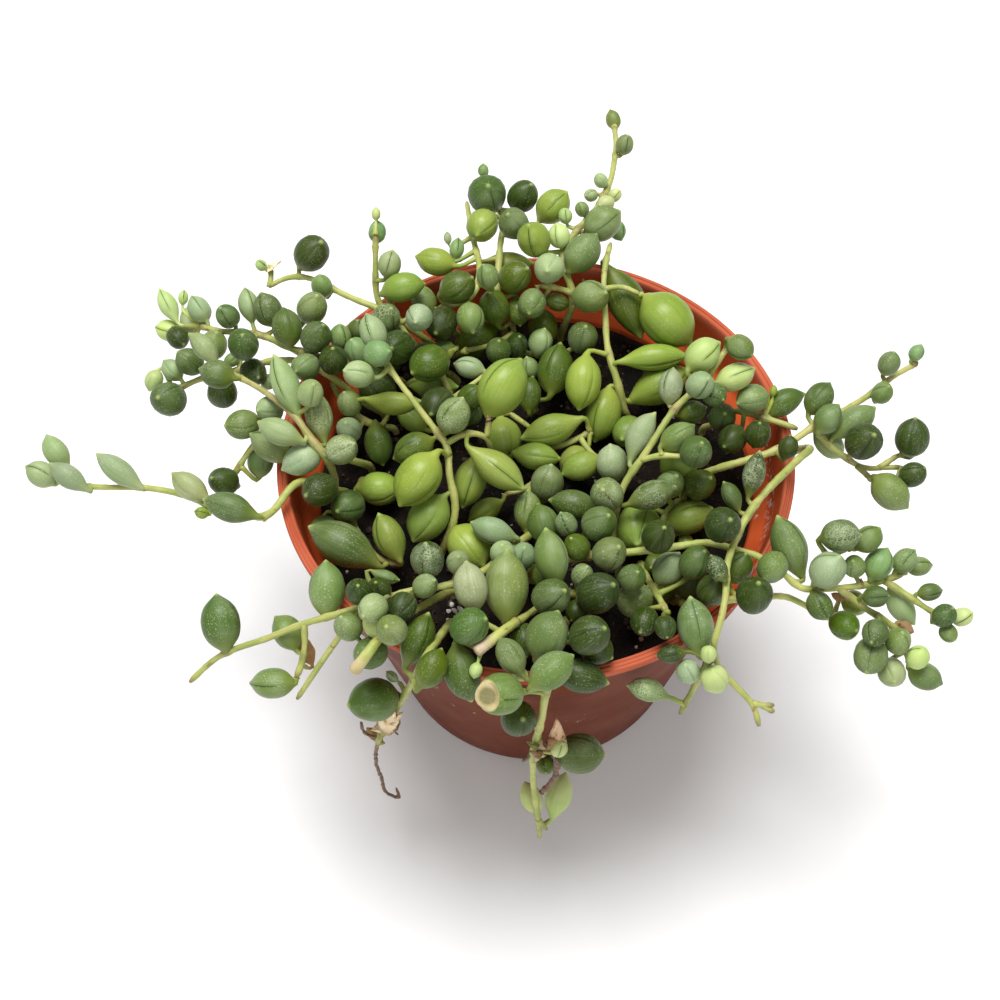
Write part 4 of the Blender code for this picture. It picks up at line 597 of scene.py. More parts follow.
# Height at which the live stem of a strand ends, where dead roots go on

STUB_HEIGHT = {"front_left_hanging": 43.0}

# Dead roots, strips and claws: thickness at both ends and route

TWIGS = {
    "front_left_hanging": [
        (0.40, 0.36, """378 741 44, 376 752 39, 376 762 34, 379 772 29, 382 779 25, 384 789 20, 390 795 17,
         399 797 15"""),
        (0.42, 0.22, "399 798 15, 398 793 16, 396 788 18"),
        (0.30, 0.34, "380 736 47, 371 736 47, 365 733 48, 362 728 50, 361 722 52"),
        (0.32, 0.16, "391 733 49, 395 732 50, 398 735 49")],
    "front_hanging": [
        (0.55, 0.62, "548 741 60, 551 752 55, 556 763 50, 556 773 46, 551 783 42, 541 793 38"),
        (0.42, 0.30, "535 752 56, 529 756 54, 523 761 53")],
}

# Cut stems that end dry: thickness at both ends, colour of the dry end and route

STUBS = {
    "front_centre_strand": [
        (0.80, 1.12, PINK_END, "516 622 83.5, 506 629 86, 496 637 87.5, 485 645 88, 476 652 88")],
    "front_left_stub": [
        (0.70, 1.15, STUB_TAN, "390 625 82.5, 380 637 85, 370 650 86, 362 661 85, 354 671 83")],
}

# Dry husks: foot, tip, width and colour

HUSKS = {
    "front_left_hanging": [
        ("388 723 57, 376 714 63", 5.2, PAPER), ("388 722 57, 393 708 66", 5.2, PAPER),
        ("388 723 57, 403 712 63", 5.0, PAPER), ("386 726 55, 371 730 57", 4.2, PAPER * 0.9),
        ("385 726 55, 379 740 50", 3.8, STEM_TINT * 0.8)],
    "front_hanging": [
        ("557 743 58, 557 718 64", 5.4, PEACH), ("547 744 60, 567 735 60", 2.2, FOLD),
        ("545 743 60, 533 748 59", 3.4, PAPER * 0.8), ("537 748 60, 526 741 61", 2.0, STEM_TINT * 0.6),
        ("542 748 59, 535 762 56", 3.8, PAPER * 0.6), ("540 755 58, 529 751 59", 2.4, STEM_TAN)],
}

# Leaf and stem shapes: points round and along, and outlines as (place, share of the radius)

LEAF_ROUND = 26
LEAF_LONG = 24
LEAST_FOOT = 0.42
LEAST_RADIUS = 0.04
STALK_LONG = 5
STALK_PLACES = (0.0, 0.25, 0.7, 1.0)
STALK_RADII = (0.80, 0.50, 0.44)
STEM_ROUND = 12
STEM_STEP = 0.9
TWIG_STEP = 0.35
CROWDING = 0.7
LEAF_LUMPS = 0.035
PAPER_LUMPS = 0.32
PLUMP = ((0.0, 0.20), (0.04, 0.34), (0.10, 0.57), (0.20, 0.82), (0.32, 0.96), (0.44, 1.0), (0.58, 0.98),
         (0.72, 0.86), (0.83, 0.64), (0.90, 0.38), (0.95, 0.17), (1.0, 0.05))
SPINDLE = ((0.0, 0.18), (0.06, 0.27), (0.14, 0.45), (0.26, 0.74), (0.38, 0.94), (0.48, 1.0), (0.60, 0.97),
           (0.72, 0.84), (0.83, 0.60), (0.90, 0.36), (0.95, 0.17), (1.0, 0.05))
PLUMP_ASPECT = 1.35
SPINDLE_ASPECT = 2.1
SLIT_DEPTH = 0.2
SLIT_LIMIT = 0.12
SLIT_WIDTH = 0.10
CLEFT_WIDTH = 0.45
SCAR_PLACE = 0.78
SCAR_HEART = 0.90
HUSK_LONG = 12
HUSK_WIDE = 13
HUSK_TURN = 0.85
HUSK_THICK = 0.22
SCALE_SHARE = 0.3
STEM_THICKNESS = (0.88, 0.56)
BRANCH_THICKNESS = (0.66, 0.50)
TWIG_ROUTE_STEP = 0.6
STUB_ROUTE_STEP = 0.4
STEM_SLOT = 2
DRY_SLOT = 3
FIRST_SEED = 100


def unit(vector):
    return vector / max(np.linalg.norm(vector), 1e-9)


def ease(value, low, high):
    place = np.clip((value - low) / (high - low), 0.0, 1.0)
    return place * place * (3.0 - 2.0 * place)


def blend(share, first, second):
    share = np.asarray(share)[:, None]
    return (1.0 - share) * first + share * second


def turns_of(count):
    """Angles of evenly spaced points round a circle."""
    return 2.0 * math.pi * np.arange(count) / count


def put(name, data):
    """An object of its own in the scene."""
    thing = bpy.data.objects.new(name, data)
    bpy.context.scene.collection.objects.link(thing)
    return thing


def put_shape(name, shape):
    mesh = bpy.data.meshes.new(name)
    shape.to_mesh(mesh)
    shape.free()
    return put(name, mesh)


class Skin:
    """Points, faces and the values painted on them, gathered before they become one mesh."""

    FIELDS = ("along", "across", "facing", "turning", "seed", "frost")

    def __init__(self):
        self.points, self.faces, self.slots, self.tints = [], [], [], []
        self.fields = {key: [] for key in self.FIELDS}

    def add(self, points, faces, slot, tints, **fields):
        base = sum(len(block) for block in self.points)
        points = np.asarray(points, float)
        self.points.append(points)
        self.faces += [tuple(base + corner for corner in face) for face in faces]
        self.slots += [slot] * len(faces)
        self.tints.append(np.broadcast_to(np.asarray(tints, float), (len(points), 3)))
        for key in self.FIELDS:
            value = np.asarray(fields.get(key, 0.0), float)
            self.fields[key].append(np.broadcast_to(value, (len(points),)))

    def build(self, name, materials):
        mesh = bpy.data.meshes.new(name)
        mesh.from_pydata((np.vstack(self.points) * MM).tolist(), [], self.faces)
        for material in materials:
            mesh.materials.append(material)
        mesh.polygons.foreach_set("material_index", self.slots)
        tint = mesh.attributes.new("tint", "FLOAT_COLOR", "POINT")
        colours = np.clip(np.vstack(self.tints), 0.0, 1.0)
        colours = np.hstack([colours, np.ones((len(colours), 1))])
        tint.data.foreach_set("color", colours.ravel().astype(np.float32))
        for key, blocks in self.fields.items():
            field = mesh.attributes.new(key, "FLOAT", "POINT")
            field.data.foreach_set("value", np.concatenate(blocks).astype(np.float32))
        mesh.shade_smooth()
        mesh.update()
        return put(name, mesh)


def ring_faces(rings, sides):
    """Quads between rings, a fan to the last point but one, and a fan from the last point."""
    faces = []
    for k in range(rings - 1):
        for s in range(sides):
            after = (s + 1) % sides
            faces.append((k * sides + s, k * sides + after, (k + 1) * sides + after, (k + 1) * sides + s))
    top, last = (rings - 1) * sides, rings * sides
    for s in range(sides):
        after = (s + 1) % sides
        faces += [(top + s, top + after, last), (after, s, last + 1)]
    return faces


def frames(path, side):
    """Directions along a path, and two directions across it that turn as little as they can."""
    tangents = np.gradient(path, axis=0)
    tangents /= np.maximum(np.linalg.norm(tangents, axis=1), 1e-9)[:, None]
    sides, others = [], []
    for tangent in tangents:
        side = unit(side - tangent * (side @ tangent))
        sides.append(side)
        others.append(np.cross(tangent, side))
    return tangents, np.array(sides), np.array(others)


def loft(path, side, across, beside):
    """Rings of points round a path, given how far each point lies along both directions across it."""
    _, sides, others = frames(path, side)
    rings = path[:, None] + sides[:, None] * across[:, :, None] + others[:, None] * beside[:, :, None]
    return np.vstack([rings[:-1].reshape(-1, 3), path[-1:], path[:1]]), ring_faces(len(path) - 1,
                                                                                  across.shape[1])


def spread(values, sides, last, first):
    """A value for each ring, or each point of each ring, as one value for each point of a loft."""
    values = np.asarray(values, float)
    if values.ndim == 1:
        values = np.repeat(values[:, None], sides, axis=1)
    return np.concatenate([values[:-1].ravel(), [last, first]])


def hermite(start, end, leave, arrive, places):
    t = np.asarray(places)[:, None]
    return ((2 * t ** 3 - 3 * t ** 2 + 1) * start + (t ** 3 - 2 * t ** 2 + t) * leave
            + (3 * t ** 2 - 2 * t ** 3) * end + (t ** 3 - t ** 2) * arrive)


def leaf_swell(places, slim, scarred):
    """Share of the full radius along a leaf, which ends in a point or is cut off flat."""
    plump, spindle = (np.interp(places, *np.array(outline).T) for outline in (PLUMP, SPINDLE))
    swell = np.pad((1.0 - slim) * plump + slim * spindle, 1, mode="edge")
    swell = np.convolve(swell, (0.2, 0.6, 0.2), mode="valid")
    swell[-1] = 0.02
    if scarred:
        left = np.sqrt(np.clip(1.0 - (places - SCAR_PLACE) / (1.0 - SCAR_PLACE), 0.0, 1.0))
        swell = np.where(places > SCAR_PLACE, np.interp(SCAR_PLACE, places, swell) * left, swell)
    return swell


def leaf_tints(along, kind, shade, slim):
    """Colours along a leaf: its stalk's green, its own shade, and its pale tip or corky scar."""
    near_foot = shade if kind in PAPERY else 0.3 * STEM_TINT + 0.7 * shade
    tints = blend(ease(along, -1.0, -0.1), STEM_TINT, near_foot)
    tints = blend(ease(along, 0.0, 0.35), tints, shade)
    if kind == "scarred":
        tints = blend(ease(along, SCAR_PLACE, SCAR_PLACE + 0.02), tints, CORK)
        return blend(ease(along, SCAR_HEART, SCAR_HEART + 0.05), tints, CORK_HEART)
    if kind in PAPERY:
        return tints
    return blend(0.85 * ease(along, 0.955 - 0.075 * slim, 1.0), tints, TIP_TINT)


def leaf_outline(radii, along, draw, cleft):
    """How far each point of a leaf's rings lies across it, with its slit, cleft and soft corners."""
    turns = turns_of(LEAF_ROUND)
    angles = turns - CROWDING * np.sin(turns)
    bend = np.abs((angles + math.pi) % (2.0 * math.pi) - math.pi)
    slit = ease(along, 0.15, 0.45) * (1.0 - ease(along, 0.93, 1.0)) * draw.uniform(0.2, 1.0)
    slit_share = np.minimum(SLIT_DEPTH / radii, SLIT_LIMIT) * slit
    cleft_share = max(draw.normal(0.02, 0.05), cleft) * ease(along, 0.3, 0.8)
    form = 1.0 - np.outer(slit_share, np.exp(-(bend / SLIT_WIDTH) ** 2))
    form -= np.outer(cleft_share, np.exp(-(bend / CLEFT_WIDTH) ** 2))
    form *= 1.0 + 0.02 * np.sin(angles * 3 + draw.uniform(0.0, 6.28))
    return angles, radii[:, None] * form * np.cos(angles), radii[:, None] * form * np.sin(angles)


def add_leaf(skin, leaf, kind, draw, slot, netted, cleft):
    """A plump leaf with its stalk: rings from inside the stem to the pointed tip."""
    tint, frost = KINDS[kind]
    start, foot, tip = (np.array(leaf[key], float) for key in ("start", "foot", "tip"))
    radius = leaf["radius"]
    length = np.linalg.norm(tip - foot)
    axis = (tip - foot) / length
    slim = float(ease(length / (2.0 * radius), PLUMP_ASPECT, SPINDLE_ASPECT))
    view = unit(EYE - 0.5 * (foot + tip))
    side = unit(view - axis * (view @ axis) + 1e-6)
    swing = draw.normal(0.0, 0.7)
    side = side * math.cos(swing) + np.cross(axis, side) * math.sin(swing)
    stalk_places = np.linspace(0.0, 1.0, STALK_LONG, endpoint=False)
    reach = max(np.linalg.norm(foot - start), 0.6)
    stalk = hermite(start, foot, (foot - start) * 0.9 + axis * 0.1 * reach, axis * 1.1 * reach, stalk_places)
    places = np.linspace(0.0, 1.0, LEAF_LONG + 1)
    places = 0.5 * places + 0.25 * (1.0 - np.cos(math.pi * places))
    swell = leaf_swell(places, slim, kind == "scarred")
    reached = np.minimum(places, SCAR_PLACE + 0.05 * (places - SCAR_PLACE)) if kind == "scarred" else places
    arch = draw.uniform(-0.05, 0.09) * length
    body = foot + np.outer(reached, tip - foot) - np.outer(np.sin(math.pi * places) * arch, side)
    base = max(swell[0] * radius, LEAST_FOOT)
    radii = np.concatenate([np.interp(stalk_places, STALK_PLACES, (*STALK_RADII, base)),
                            np.maximum(swell * radius, LEAST_RADIUS)])
    path = np.vstack([stalk, body])
    along = np.concatenate([stalk_places - 1.0, places])
    angles, across, beside = leaf_outline(radii, along, draw, cleft)
    papery = kind in PAPERY
    if papery:
        cup = draw.uniform(0.5, 0.9)
        across = radii[:, None] * (0.22 * np.cos(angles) + cup * (0.5 - np.sin(angles) ** 2))
        beside = radii[:, None] * 1.15 * np.sin(angles)
    points, faces = loft(path, side, across, beside)
    lumps = PAPER_LUMPS if papery else LEAF_LUMPS
    for point in points:
        spot = Vector(point)
        point += np.array([noise(spot * 0.6 + Vector((k * 31.0, 0.0, 0.0))) for k in range(3)]) * lumps
    along_all = spread(along, LEAF_ROUND, 1.0, -1.0)
    # facing: cosine round the leaf from the side turned to the eye; it places the slit and the painted
    # highlight
    facing = spread(np.tile(np.cos(angles), (len(path), 1)), LEAF_ROUND, 0.0, 0.0)
    shade = np.array(tint) * draw.uniform(0.85, 1.15) * (1.0 + np.array((0.06, 0.03, 0.10))
                                                         * draw.normal(0.0, 1.0, 3))
    tints = leaf_tints(along_all, kind, shade, slim)
    if kind == "scarred":
        facing = np.where(along_all > SCAR_PLACE - 0.1, -1.0, facing)
    skin.add(points, faces, slot, tints, along=along_all, across=spread(beside, LEAF_ROUND, 0.0, 0.0),
             facing=facing, turning=spread(np.tile(np.sin(angles), (len(path), 1)), LEAF_ROUND, 0.0, 0.0),
             seed=draw.uniform(0.0, 50.0), frost=1.0 if netted else min(frost, 0.5) * draw.uniform(0.6, 1.0))


def add_husk(skin, base, apex, width, tint, draw):
    """A thin dry scale, cupped round its stem, with a wavy edge and its foot curled back."""
    length = np.linalg.norm(apex - base)
    axis = (apex - base) / length
    view = unit(EYE - base)
    outward = unit(view - axis * (view @ axis))
    side = np.cross(axis, outward)
    shift = draw.uniform(0.0, 30.0)
    front, back = [], []
    for t in np.linspace(0.0, 1.0, HUSK_LONG):
        half = 0.5 * width * (1.0 - t) ** 0.95 * (1.0 + 0.3 * t) + 0.08
        curl = 0.22 * width * max(0.0, 1.0 - t / 0.22) ** 2
        for s in np.linspace(-1.0, 1.0, HUSK_WIDE):
            turn = s * HUSK_TURN
            wave = noise(Vector((s * 1.7 + shift, t * 2.2, 0.0))) * 0.15 * width
            place = base + axis * (length * t + wave * 0.8 * (1.0 - t)) + side * half * math.sin(turn)
            place = place + outward * (half * (math.cos(turn) - 0.5) + curl + wave)
            front.append(place + outward * HUSK_THICK * 0.5)
            back.append(place - outward * HUSK_THICK * 0.5)
    count = HUSK_LONG * HUSK_WIDE
    faces = []
    for i in range(HUSK_LONG - 1):
        for j in range(HUSK_WIDE - 1):
            one = i * HUSK_WIDE + j
            quad = (one, one + 1, one + HUSK_WIDE + 1, one + HUSK_WIDE)
            faces += [quad, tuple(count + corner for corner in quad[::-1])]
    rim = [*range(HUSK_WIDE), *range(2 * HUSK_WIDE - 1, count, HUSK_WIDE)]
    rim += [*range(count - 2, count - HUSK_WIDE - 1, -1), *range(count - 2 * HUSK_WIDE, 0, -HUSK_WIDE)]
    for k, one in enumerate(rim):
        after = rim[(k + 1) % len(rim)]
        faces.append((after, one, count + one, count + after))
    edges = np.linspace(0.0, 1.0, HUSK_LONG).repeat(HUSK_WIDE)
    brown = blend(0.6 * (1.0 - ease(edges, 0.0, 0.12)), np.array(tint), JOINT_BROWN * 2.0)
    skin.add(np.array(front + back), faces, DRY_SLOT, np.vstack([brown, brown * 0.8]))


def add_twig(skin, route, draw, thick, thin):
    """A dead root or withered strip: knotty, bent and brown."""
    places, path = resample(route, 8, lambda length: int(length / TWIG_STEP))
    shift = draw.uniform(0.0, 40.0)
    knots = np.array([noise(Vector((place * 0.9 + shift, 0.0, 0.0))) for place in places])
    bends = [[noise(Vector((place * 0.5 + shift, k * 9.0, 3.0))) for k in range(3)] for place in places]
    path += np.array(bends) * 0.3
    radii = np.interp(places, (0.0, places[-1]), (thick, thin)) * (1.0 + 0.55 * knots)
    radii[-1] *= 0.5
    tube(skin, path, radii, blend(np.clip(0.45 + knots, 0.0, 0.8), ROOT_BROWN * 0.6, ROOT_BROWN * 2.1),
         draw, 1.0)


def tube(skin, path, radii, tints, draw, dead):
    """A round stem along a path, closed at its far end by a point."""
    angles = turns_of(STEM_ROUND)
    count = len(path)
    across, beside = np.outer(radii, np.cos(angles)), np.outer(radii, np.sin(angles))
    places = run_along(path)
    path = np.vstack([path, path[-1:] + (path[-1:] - path[-2:-1]) * 0.12])
    across, beside = np.vstack([across, across[-1:] * 0]), np.vstack([beside, beside[-1:] * 0])
    points, faces = loft(path, np.array([0.1, 0.2, 0.97]), across, beside)
    tints = np.vstack([np.repeat(tints, STEM_ROUND, axis=0), tints[-1:], tints[:1]])
    skin.add(points, faces, STEM_SLOT, tints,
             along=np.concatenate([np.repeat(places, STEM_ROUND), [places[-1], 0.0]]),
             turning=np.concatenate([np.tile(np.sin(angles), count), [0.0, 0.0]]),
             facing=np.concatenate([np.tile(np.cos(angles), count), [0.0, 0.0]]),
             seed=draw.uniform(0.0, 50.0), frost=dead)


def add_stub(skin, route, draw, thick, thin, tint):
    """A cut stem that goes from green over straw to its dry end."""
    share = np.linspace(0.0, 1.0, len(route))
    tints = blend(ease(share, 0.60, 0.95), STEM_TINT * 1.15, tint)
    tints = blend(0.9 * np.exp(-(share / 0.07) ** 2), tints, JOINT_BROWN)
    radii = thick + (thin - thick) * share + 0.25 * np.exp(-(share / 0.06) ** 2)
    radii[-1] *= 0.8
    tube(skin, route, radii, tints, draw, 0.0)


def add_stem(skin, route, draw, thick, thin, tan, seats):
    """A stem with slightly swollen, browner joints where leaves leave it, and a dry cut end."""
    places, path = resample(route, 6, lambda length: int(length / STEM_STEP))
    length = places[-1]
    for _ in range(3):
        path[1:-1] = 0.5 * path[1:-1] + 0.25 * (path[:-2] + path[2:])
    share = places / length
    radii = (thick + (thin - thick) * share) * (1.0 + 0.04 * draw.normal(0.0, 1.0, len(places)))
    green = STEM_TINT * draw.uniform(0.85, 1.12)
    tints = blend(tan * ease(share, 0.15, 0.6), green, STEM_TAN)
    for seat in seats:
        near = np.linalg.norm(path - seat, axis=1)
        radii += 0.17 * np.exp(-(near / 1.0) ** 2)
        tints = blend(draw.uniform(0.0, 0.7) * np.exp(-(near / 0.8) ** 2), tints, JOINT_BROWN)
    tints = blend(0.85 * ease(places, length - 1.6, length - 0.3), tints, JOINT_BROWN)
    radii[-1] = 0.6 * radii[-2]
    tube(skin, path, radii, tints, draw, 0.0)


# Materials. Their places and sizes are metres, and the scale of a noise is how many times it repeats in one.

FLESH = (0.8, 1.0, 0.2)
DULL = "MULTIPLY"
# One plastic in three tones: the outer wall tone is painted shade, darker than the inside and the lip
POT_INNER = ((0.520, 0.088, 0.024), (0.430, 0.066, 0.016))
POT_SHADED_WALL = ((0.162, 0.033, 0.010), (0.136, 0.026, 0.007))
POT_EDGE = ((0.520, 0.125, 0.060), (0.440, 0.095, 0.044))
LIP_LOW, LIP_HIGH = 0.0766, 0.0774
WALL_SLOPE, WALL_FOOT, WALL_TOP = 0.1898, 0.03367, 0.0670
COLLAR_SLOPE, COLLAR_FOOT, COLLAR_TOP = 0.137, 0.04023, 0.0772
EDGE_BLUR = 0.0002


class Web:
    """A material's nodes, made and joined by short calls."""

    def __init__(self, name):
        self.material = bpy.data.materials.new(name)
        self.material.use_nodes = True
        self.tree = self.material.node_tree
        self.shader = self.tree.nodes["Principled BSDF"]

    def node(self, kind, **settings):
        node = self.tree.nodes.new(kind)
        for key, value in settings.items():
            setattr(node, key, value)
        return node

    def feed(self, socket, value):
        if isinstance(value, bpy.types.NodeSocket):
            self.tree.links.new(value, socket)
        else:
            socket.default_value = value

    def fill(self, node, *values, **named):
        """Give a node's sockets their values, in order or by name, and hand back what it puts out."""
        for socket, value in zip(node.inputs, values):
            self.feed(socket, value)
        for name, value in named.items():
            self.feed(node.inputs[name], value)
        return node.outputs[0]

    def field(self, name, output="Fac"):
        return self.node("ShaderNodeAttribute", attribute_name=name).outputs[output]

    def place(self):
        return self.node("ShaderNodeTexCoord").outputs["Object"]

    def maths(self, operation, first, second=0.0, third=0.0):
        return self.fill(self.node("ShaderNodeMath", operation=operation), first, second, third)

    def times(self, first, *others):
        for other in others:
            first = self.maths("MULTIPLY", first, other)
        return first

    def span(self, value, low, high, to_low=0.0, to_high=1.0):
        node = self.node("ShaderNodeMapRange", clamp=True, interpolation_type="SMOOTHSTEP")
        return self.fill(node, value, low, high, to_low, to_high)

    def mix(self, factor, first, second, blend_type="MIX"):
        node = self.node("ShaderNodeMix", data_type="RGBA", blend_type=blend_type, clamp_factor=True)
        self.feed(node.inputs["Factor"], factor)
        colours = [socket for socket in node.inputs if socket.type == "RGBA"]
        for socket, value in zip(colours, (first, second)):
            self.feed(socket, value if isinstance(value, bpy.types.NodeSocket) else (*value, 1.0))
        return [socket for socket in node.outputs if socket.type == "RGBA"][0]

    def noise(self, vector, scale, detail=2.0, rough=0.5):
        return self.fill(self.node("ShaderNodeTexNoise"), Vector=vector, Scale=scale, Detail=detail,
                         Roughness=rough)

    def cells(self, vector, scale):
        node = self.node("ShaderNodeTexVoronoi", feature="DISTANCE_TO_EDGE")
        return self.fill(node, Vector=vector, Scale=scale)

    def vector(self, x, y, z):
        return self.fill(self.node("ShaderNodeCombineXYZ"), x, y, z)

    def bump(self, height, distance, strength=1.0):
        node = self.node("ShaderNodeBump")
        self.set(Normal=self.fill(node, Height=height, Distance=distance, Strength=strength))

    def set(self, **values):
        for key, value in values.items():
            self.feed(self.shader.inputs[key.replace("_", " ")], value)


def leaf_material(name, sheen, gloss, wax_and_highlight_colour):
    """Fleshy leaf skin: faint lengthwise stripes, a dark slit, a pale wax coat with a painted highlight on
    the side turned to the eye, specks and nets.
    """
    web = Web(name)
    along, across = web.field("along"), web.field("across")
    facing, turning = web.field("facing"), web.field("turning")
    seed, frost = web.field("seed"), web.field("frost")
    tint = web.field("tint", "Color")
    spot = web.place()
    drift = web.noise(spot, 170.0, 2.0)
    colour = web.mix(web.span(drift, 0.35, 0.7, 0.0, 0.6), tint, (0.62, 0.74, 0.50), DULL)
    middle = web.span(along, 0.1, 0.35)
    # Painted highlight: the pale wax colour is laid on patchily and much more strongly on the side of each
    # leaf turned to the eye, standing for its lit top
    bloom_and_highlight = web.times(web.span(facing, -0.5, 0.9), web.span(web.noise(spot, 240.0, 2.0), 0.25, 0.65), middle,
                      web.span(frost, 0.0, 0.5, 0.02, 0.24))
    colour = web.mix(bloom_and_highlight, colour, wax_and_highlight_colour)
    stripes = web.noise(web.vector(web.maths("ADD", facing, seed), turning, web.times(along, 0.12)),
                        11.0, 4.0, 0.6)
    colour = web.mix(web.times(web.span(stripes, 0.50, 0.70), middle, 0.09), colour, wax_and_highlight_colour)
    colour = web.mix(web.times(web.span(stripes, 0.48, 0.30), middle, 0.34), colour, (0.50, 0.62, 0.30),
                     DULL)
    front = web.span(facing, 0.0, 0.3)
    length = web.times(web.span(along, 0.2, 0.5), web.span(along, 0.97, 0.90), front)
    bold = web.span(web.maths("FRACT", web.times(seed, 3.7)), 0.15, 0.85, 0.15, 1.0)
    window = web.times(web.span(web.maths("ABSOLUTE", across), 0.7, 0.15), length, bold)
    colour = web.mix(web.times(window, 0.45), colour, (0.45, 0.58, 0.25), DULL)
    slit = web.times(web.span(web.maths("ABSOLUTE", across), 0.15, 0.04), length, bold)
    colour = web.mix(web.times(slit, 0.85), colour, (0.014, 0.026, 0.004))
    bent = web.node("ShaderNodeVectorMath", operation="ADD")
    jog = web.times(web.noise(spot, 900.0, 2.0), 0.0009)
    web.feed(bent.inputs[0], spot)
    web.feed(bent.inputs[1], web.vector(jog, jog, jog))
    patches = web.span(web.noise(spot, 330.0, 3.0), 0.40, 0.60)
    net = web.times(web.span(web.cells(bent.outputs[0], 1700.0), 0.14, 0.03), patches,
                    web.span(frost, 0.6, 0.8, 0.0, 0.65))
    dots = web.times(web.span(web.noise(spot, 3400.0, 1.0), 0.61, 0.69),
                     web.span(web.noise(spot, 190.0, 2.0), 0.34, 0.60), 0.8)
    specks = web.times(web.maths("MAXIMUM", net, dots), web.span(frost, 0.0, 0.6, 0.38, 0.95),
                       web.span(along, 0.0, 0.3))
    colour = web.mix(web.times(specks, 0.75), colour, (0.56, 0.62, 0.38))
    rough = web.maths("ADD", web.span(drift, 0.2, 0.8, gloss - 0.05, gloss + 0.08), web.times(specks, 0.15))
    web.set(Base_Color=colour, Roughness=rough, Subsurface_Weight=0.12, Subsurface_Radius=FLESH,
            Subsurface_Scale=0.0014, Sheen_Weight=sheen, Sheen_Roughness=0.4,
            Sheen_Tint=(0.90, 1.0, 0.88, 1.0), Specular_IOR_Level=0.30)
    height = web.maths("ADD", web.times(web.noise(spot, 1300.0, 2.0), 0.4), web.times(stripes, 0.3))
    web.bump(web.maths("ADD", height, web.times(specks, 0.25)), 0.0002, 0.55)
    return web.material


def stem_material():
    """Pale green stem skin with fine streaks and a few brown flecks."""
    web = Web("stem_skin")
    along, facing, turning = web.field("along"), web.field("facing"), web.field("turning")
    tint, spot = web.field("tint", "Color"), web.place()
    streaks = web.noise(web.vector(web.maths("ADD", facing, web.field("seed")), turning,
                                   web.times(along, 0.06)), 6.0, 3.0)
    alive = web.span(web.field("frost"), 0.6, 0.1)
    colour = web.mix(web.times(web.span(streaks, 0.38, 0.65, 0.0, 0.45), alive), tint, (0.60, 0.60, 0.25))
    darker = web.span(web.noise(spot, 220.0, 3.0), 0.42, 0.62, 0.0, 0.6)
    colour = web.mix(darker, colour, (0.55, 0.70, 0.40), DULL)
    flecks = web.span(web.noise(spot, 620.0, 3.0), 0.64, 0.72, 0.0, 0.7)
    colour = web.mix(flecks, colour, (0.24, 0.12, 0.05))
    web.set(Base_Color=colour, Roughness=web.span(streaks, 0.2, 0.8, 0.42, 0.58), Subsurface_Weight=0.08,
            Subsurface_Radius=FLESH, Subsurface_Scale=0.0008)
    web.bump(web.maths("ADD", streaks, web.noise(spot, 1400.0, 2.0)), 0.00014, 0.6)
    return web.material


def dry_material():
    """Papery dead leaf: cream and tan, with brown flecks."""
    web = Web("dry_bract")
    spot, tint = web.place(), web.field("tint", "Color")
    patches = web.noise(spot, 420.0, 4.0, 0.65)
    colour = web.mix(web.span(patches, 0.45, 0.65, 0.0, 0.7), tint, (0.85, 0.74, 0.60), DULL)
    colour = web.mix(web.span(web.noise(spot, 600.0, 3.0), 0.58, 0.70, 0.0, 0.8), colour, (0.20, 0.09, 0.035))
    web.set(Base_Color=colour, Roughness=web.span(patches, 0.3, 0.7, 0.6, 0.85))
    web.bump(web.noise(spot, 1200.0, 4.0, 0.7), 0.0005, 0.9)
    return web.material


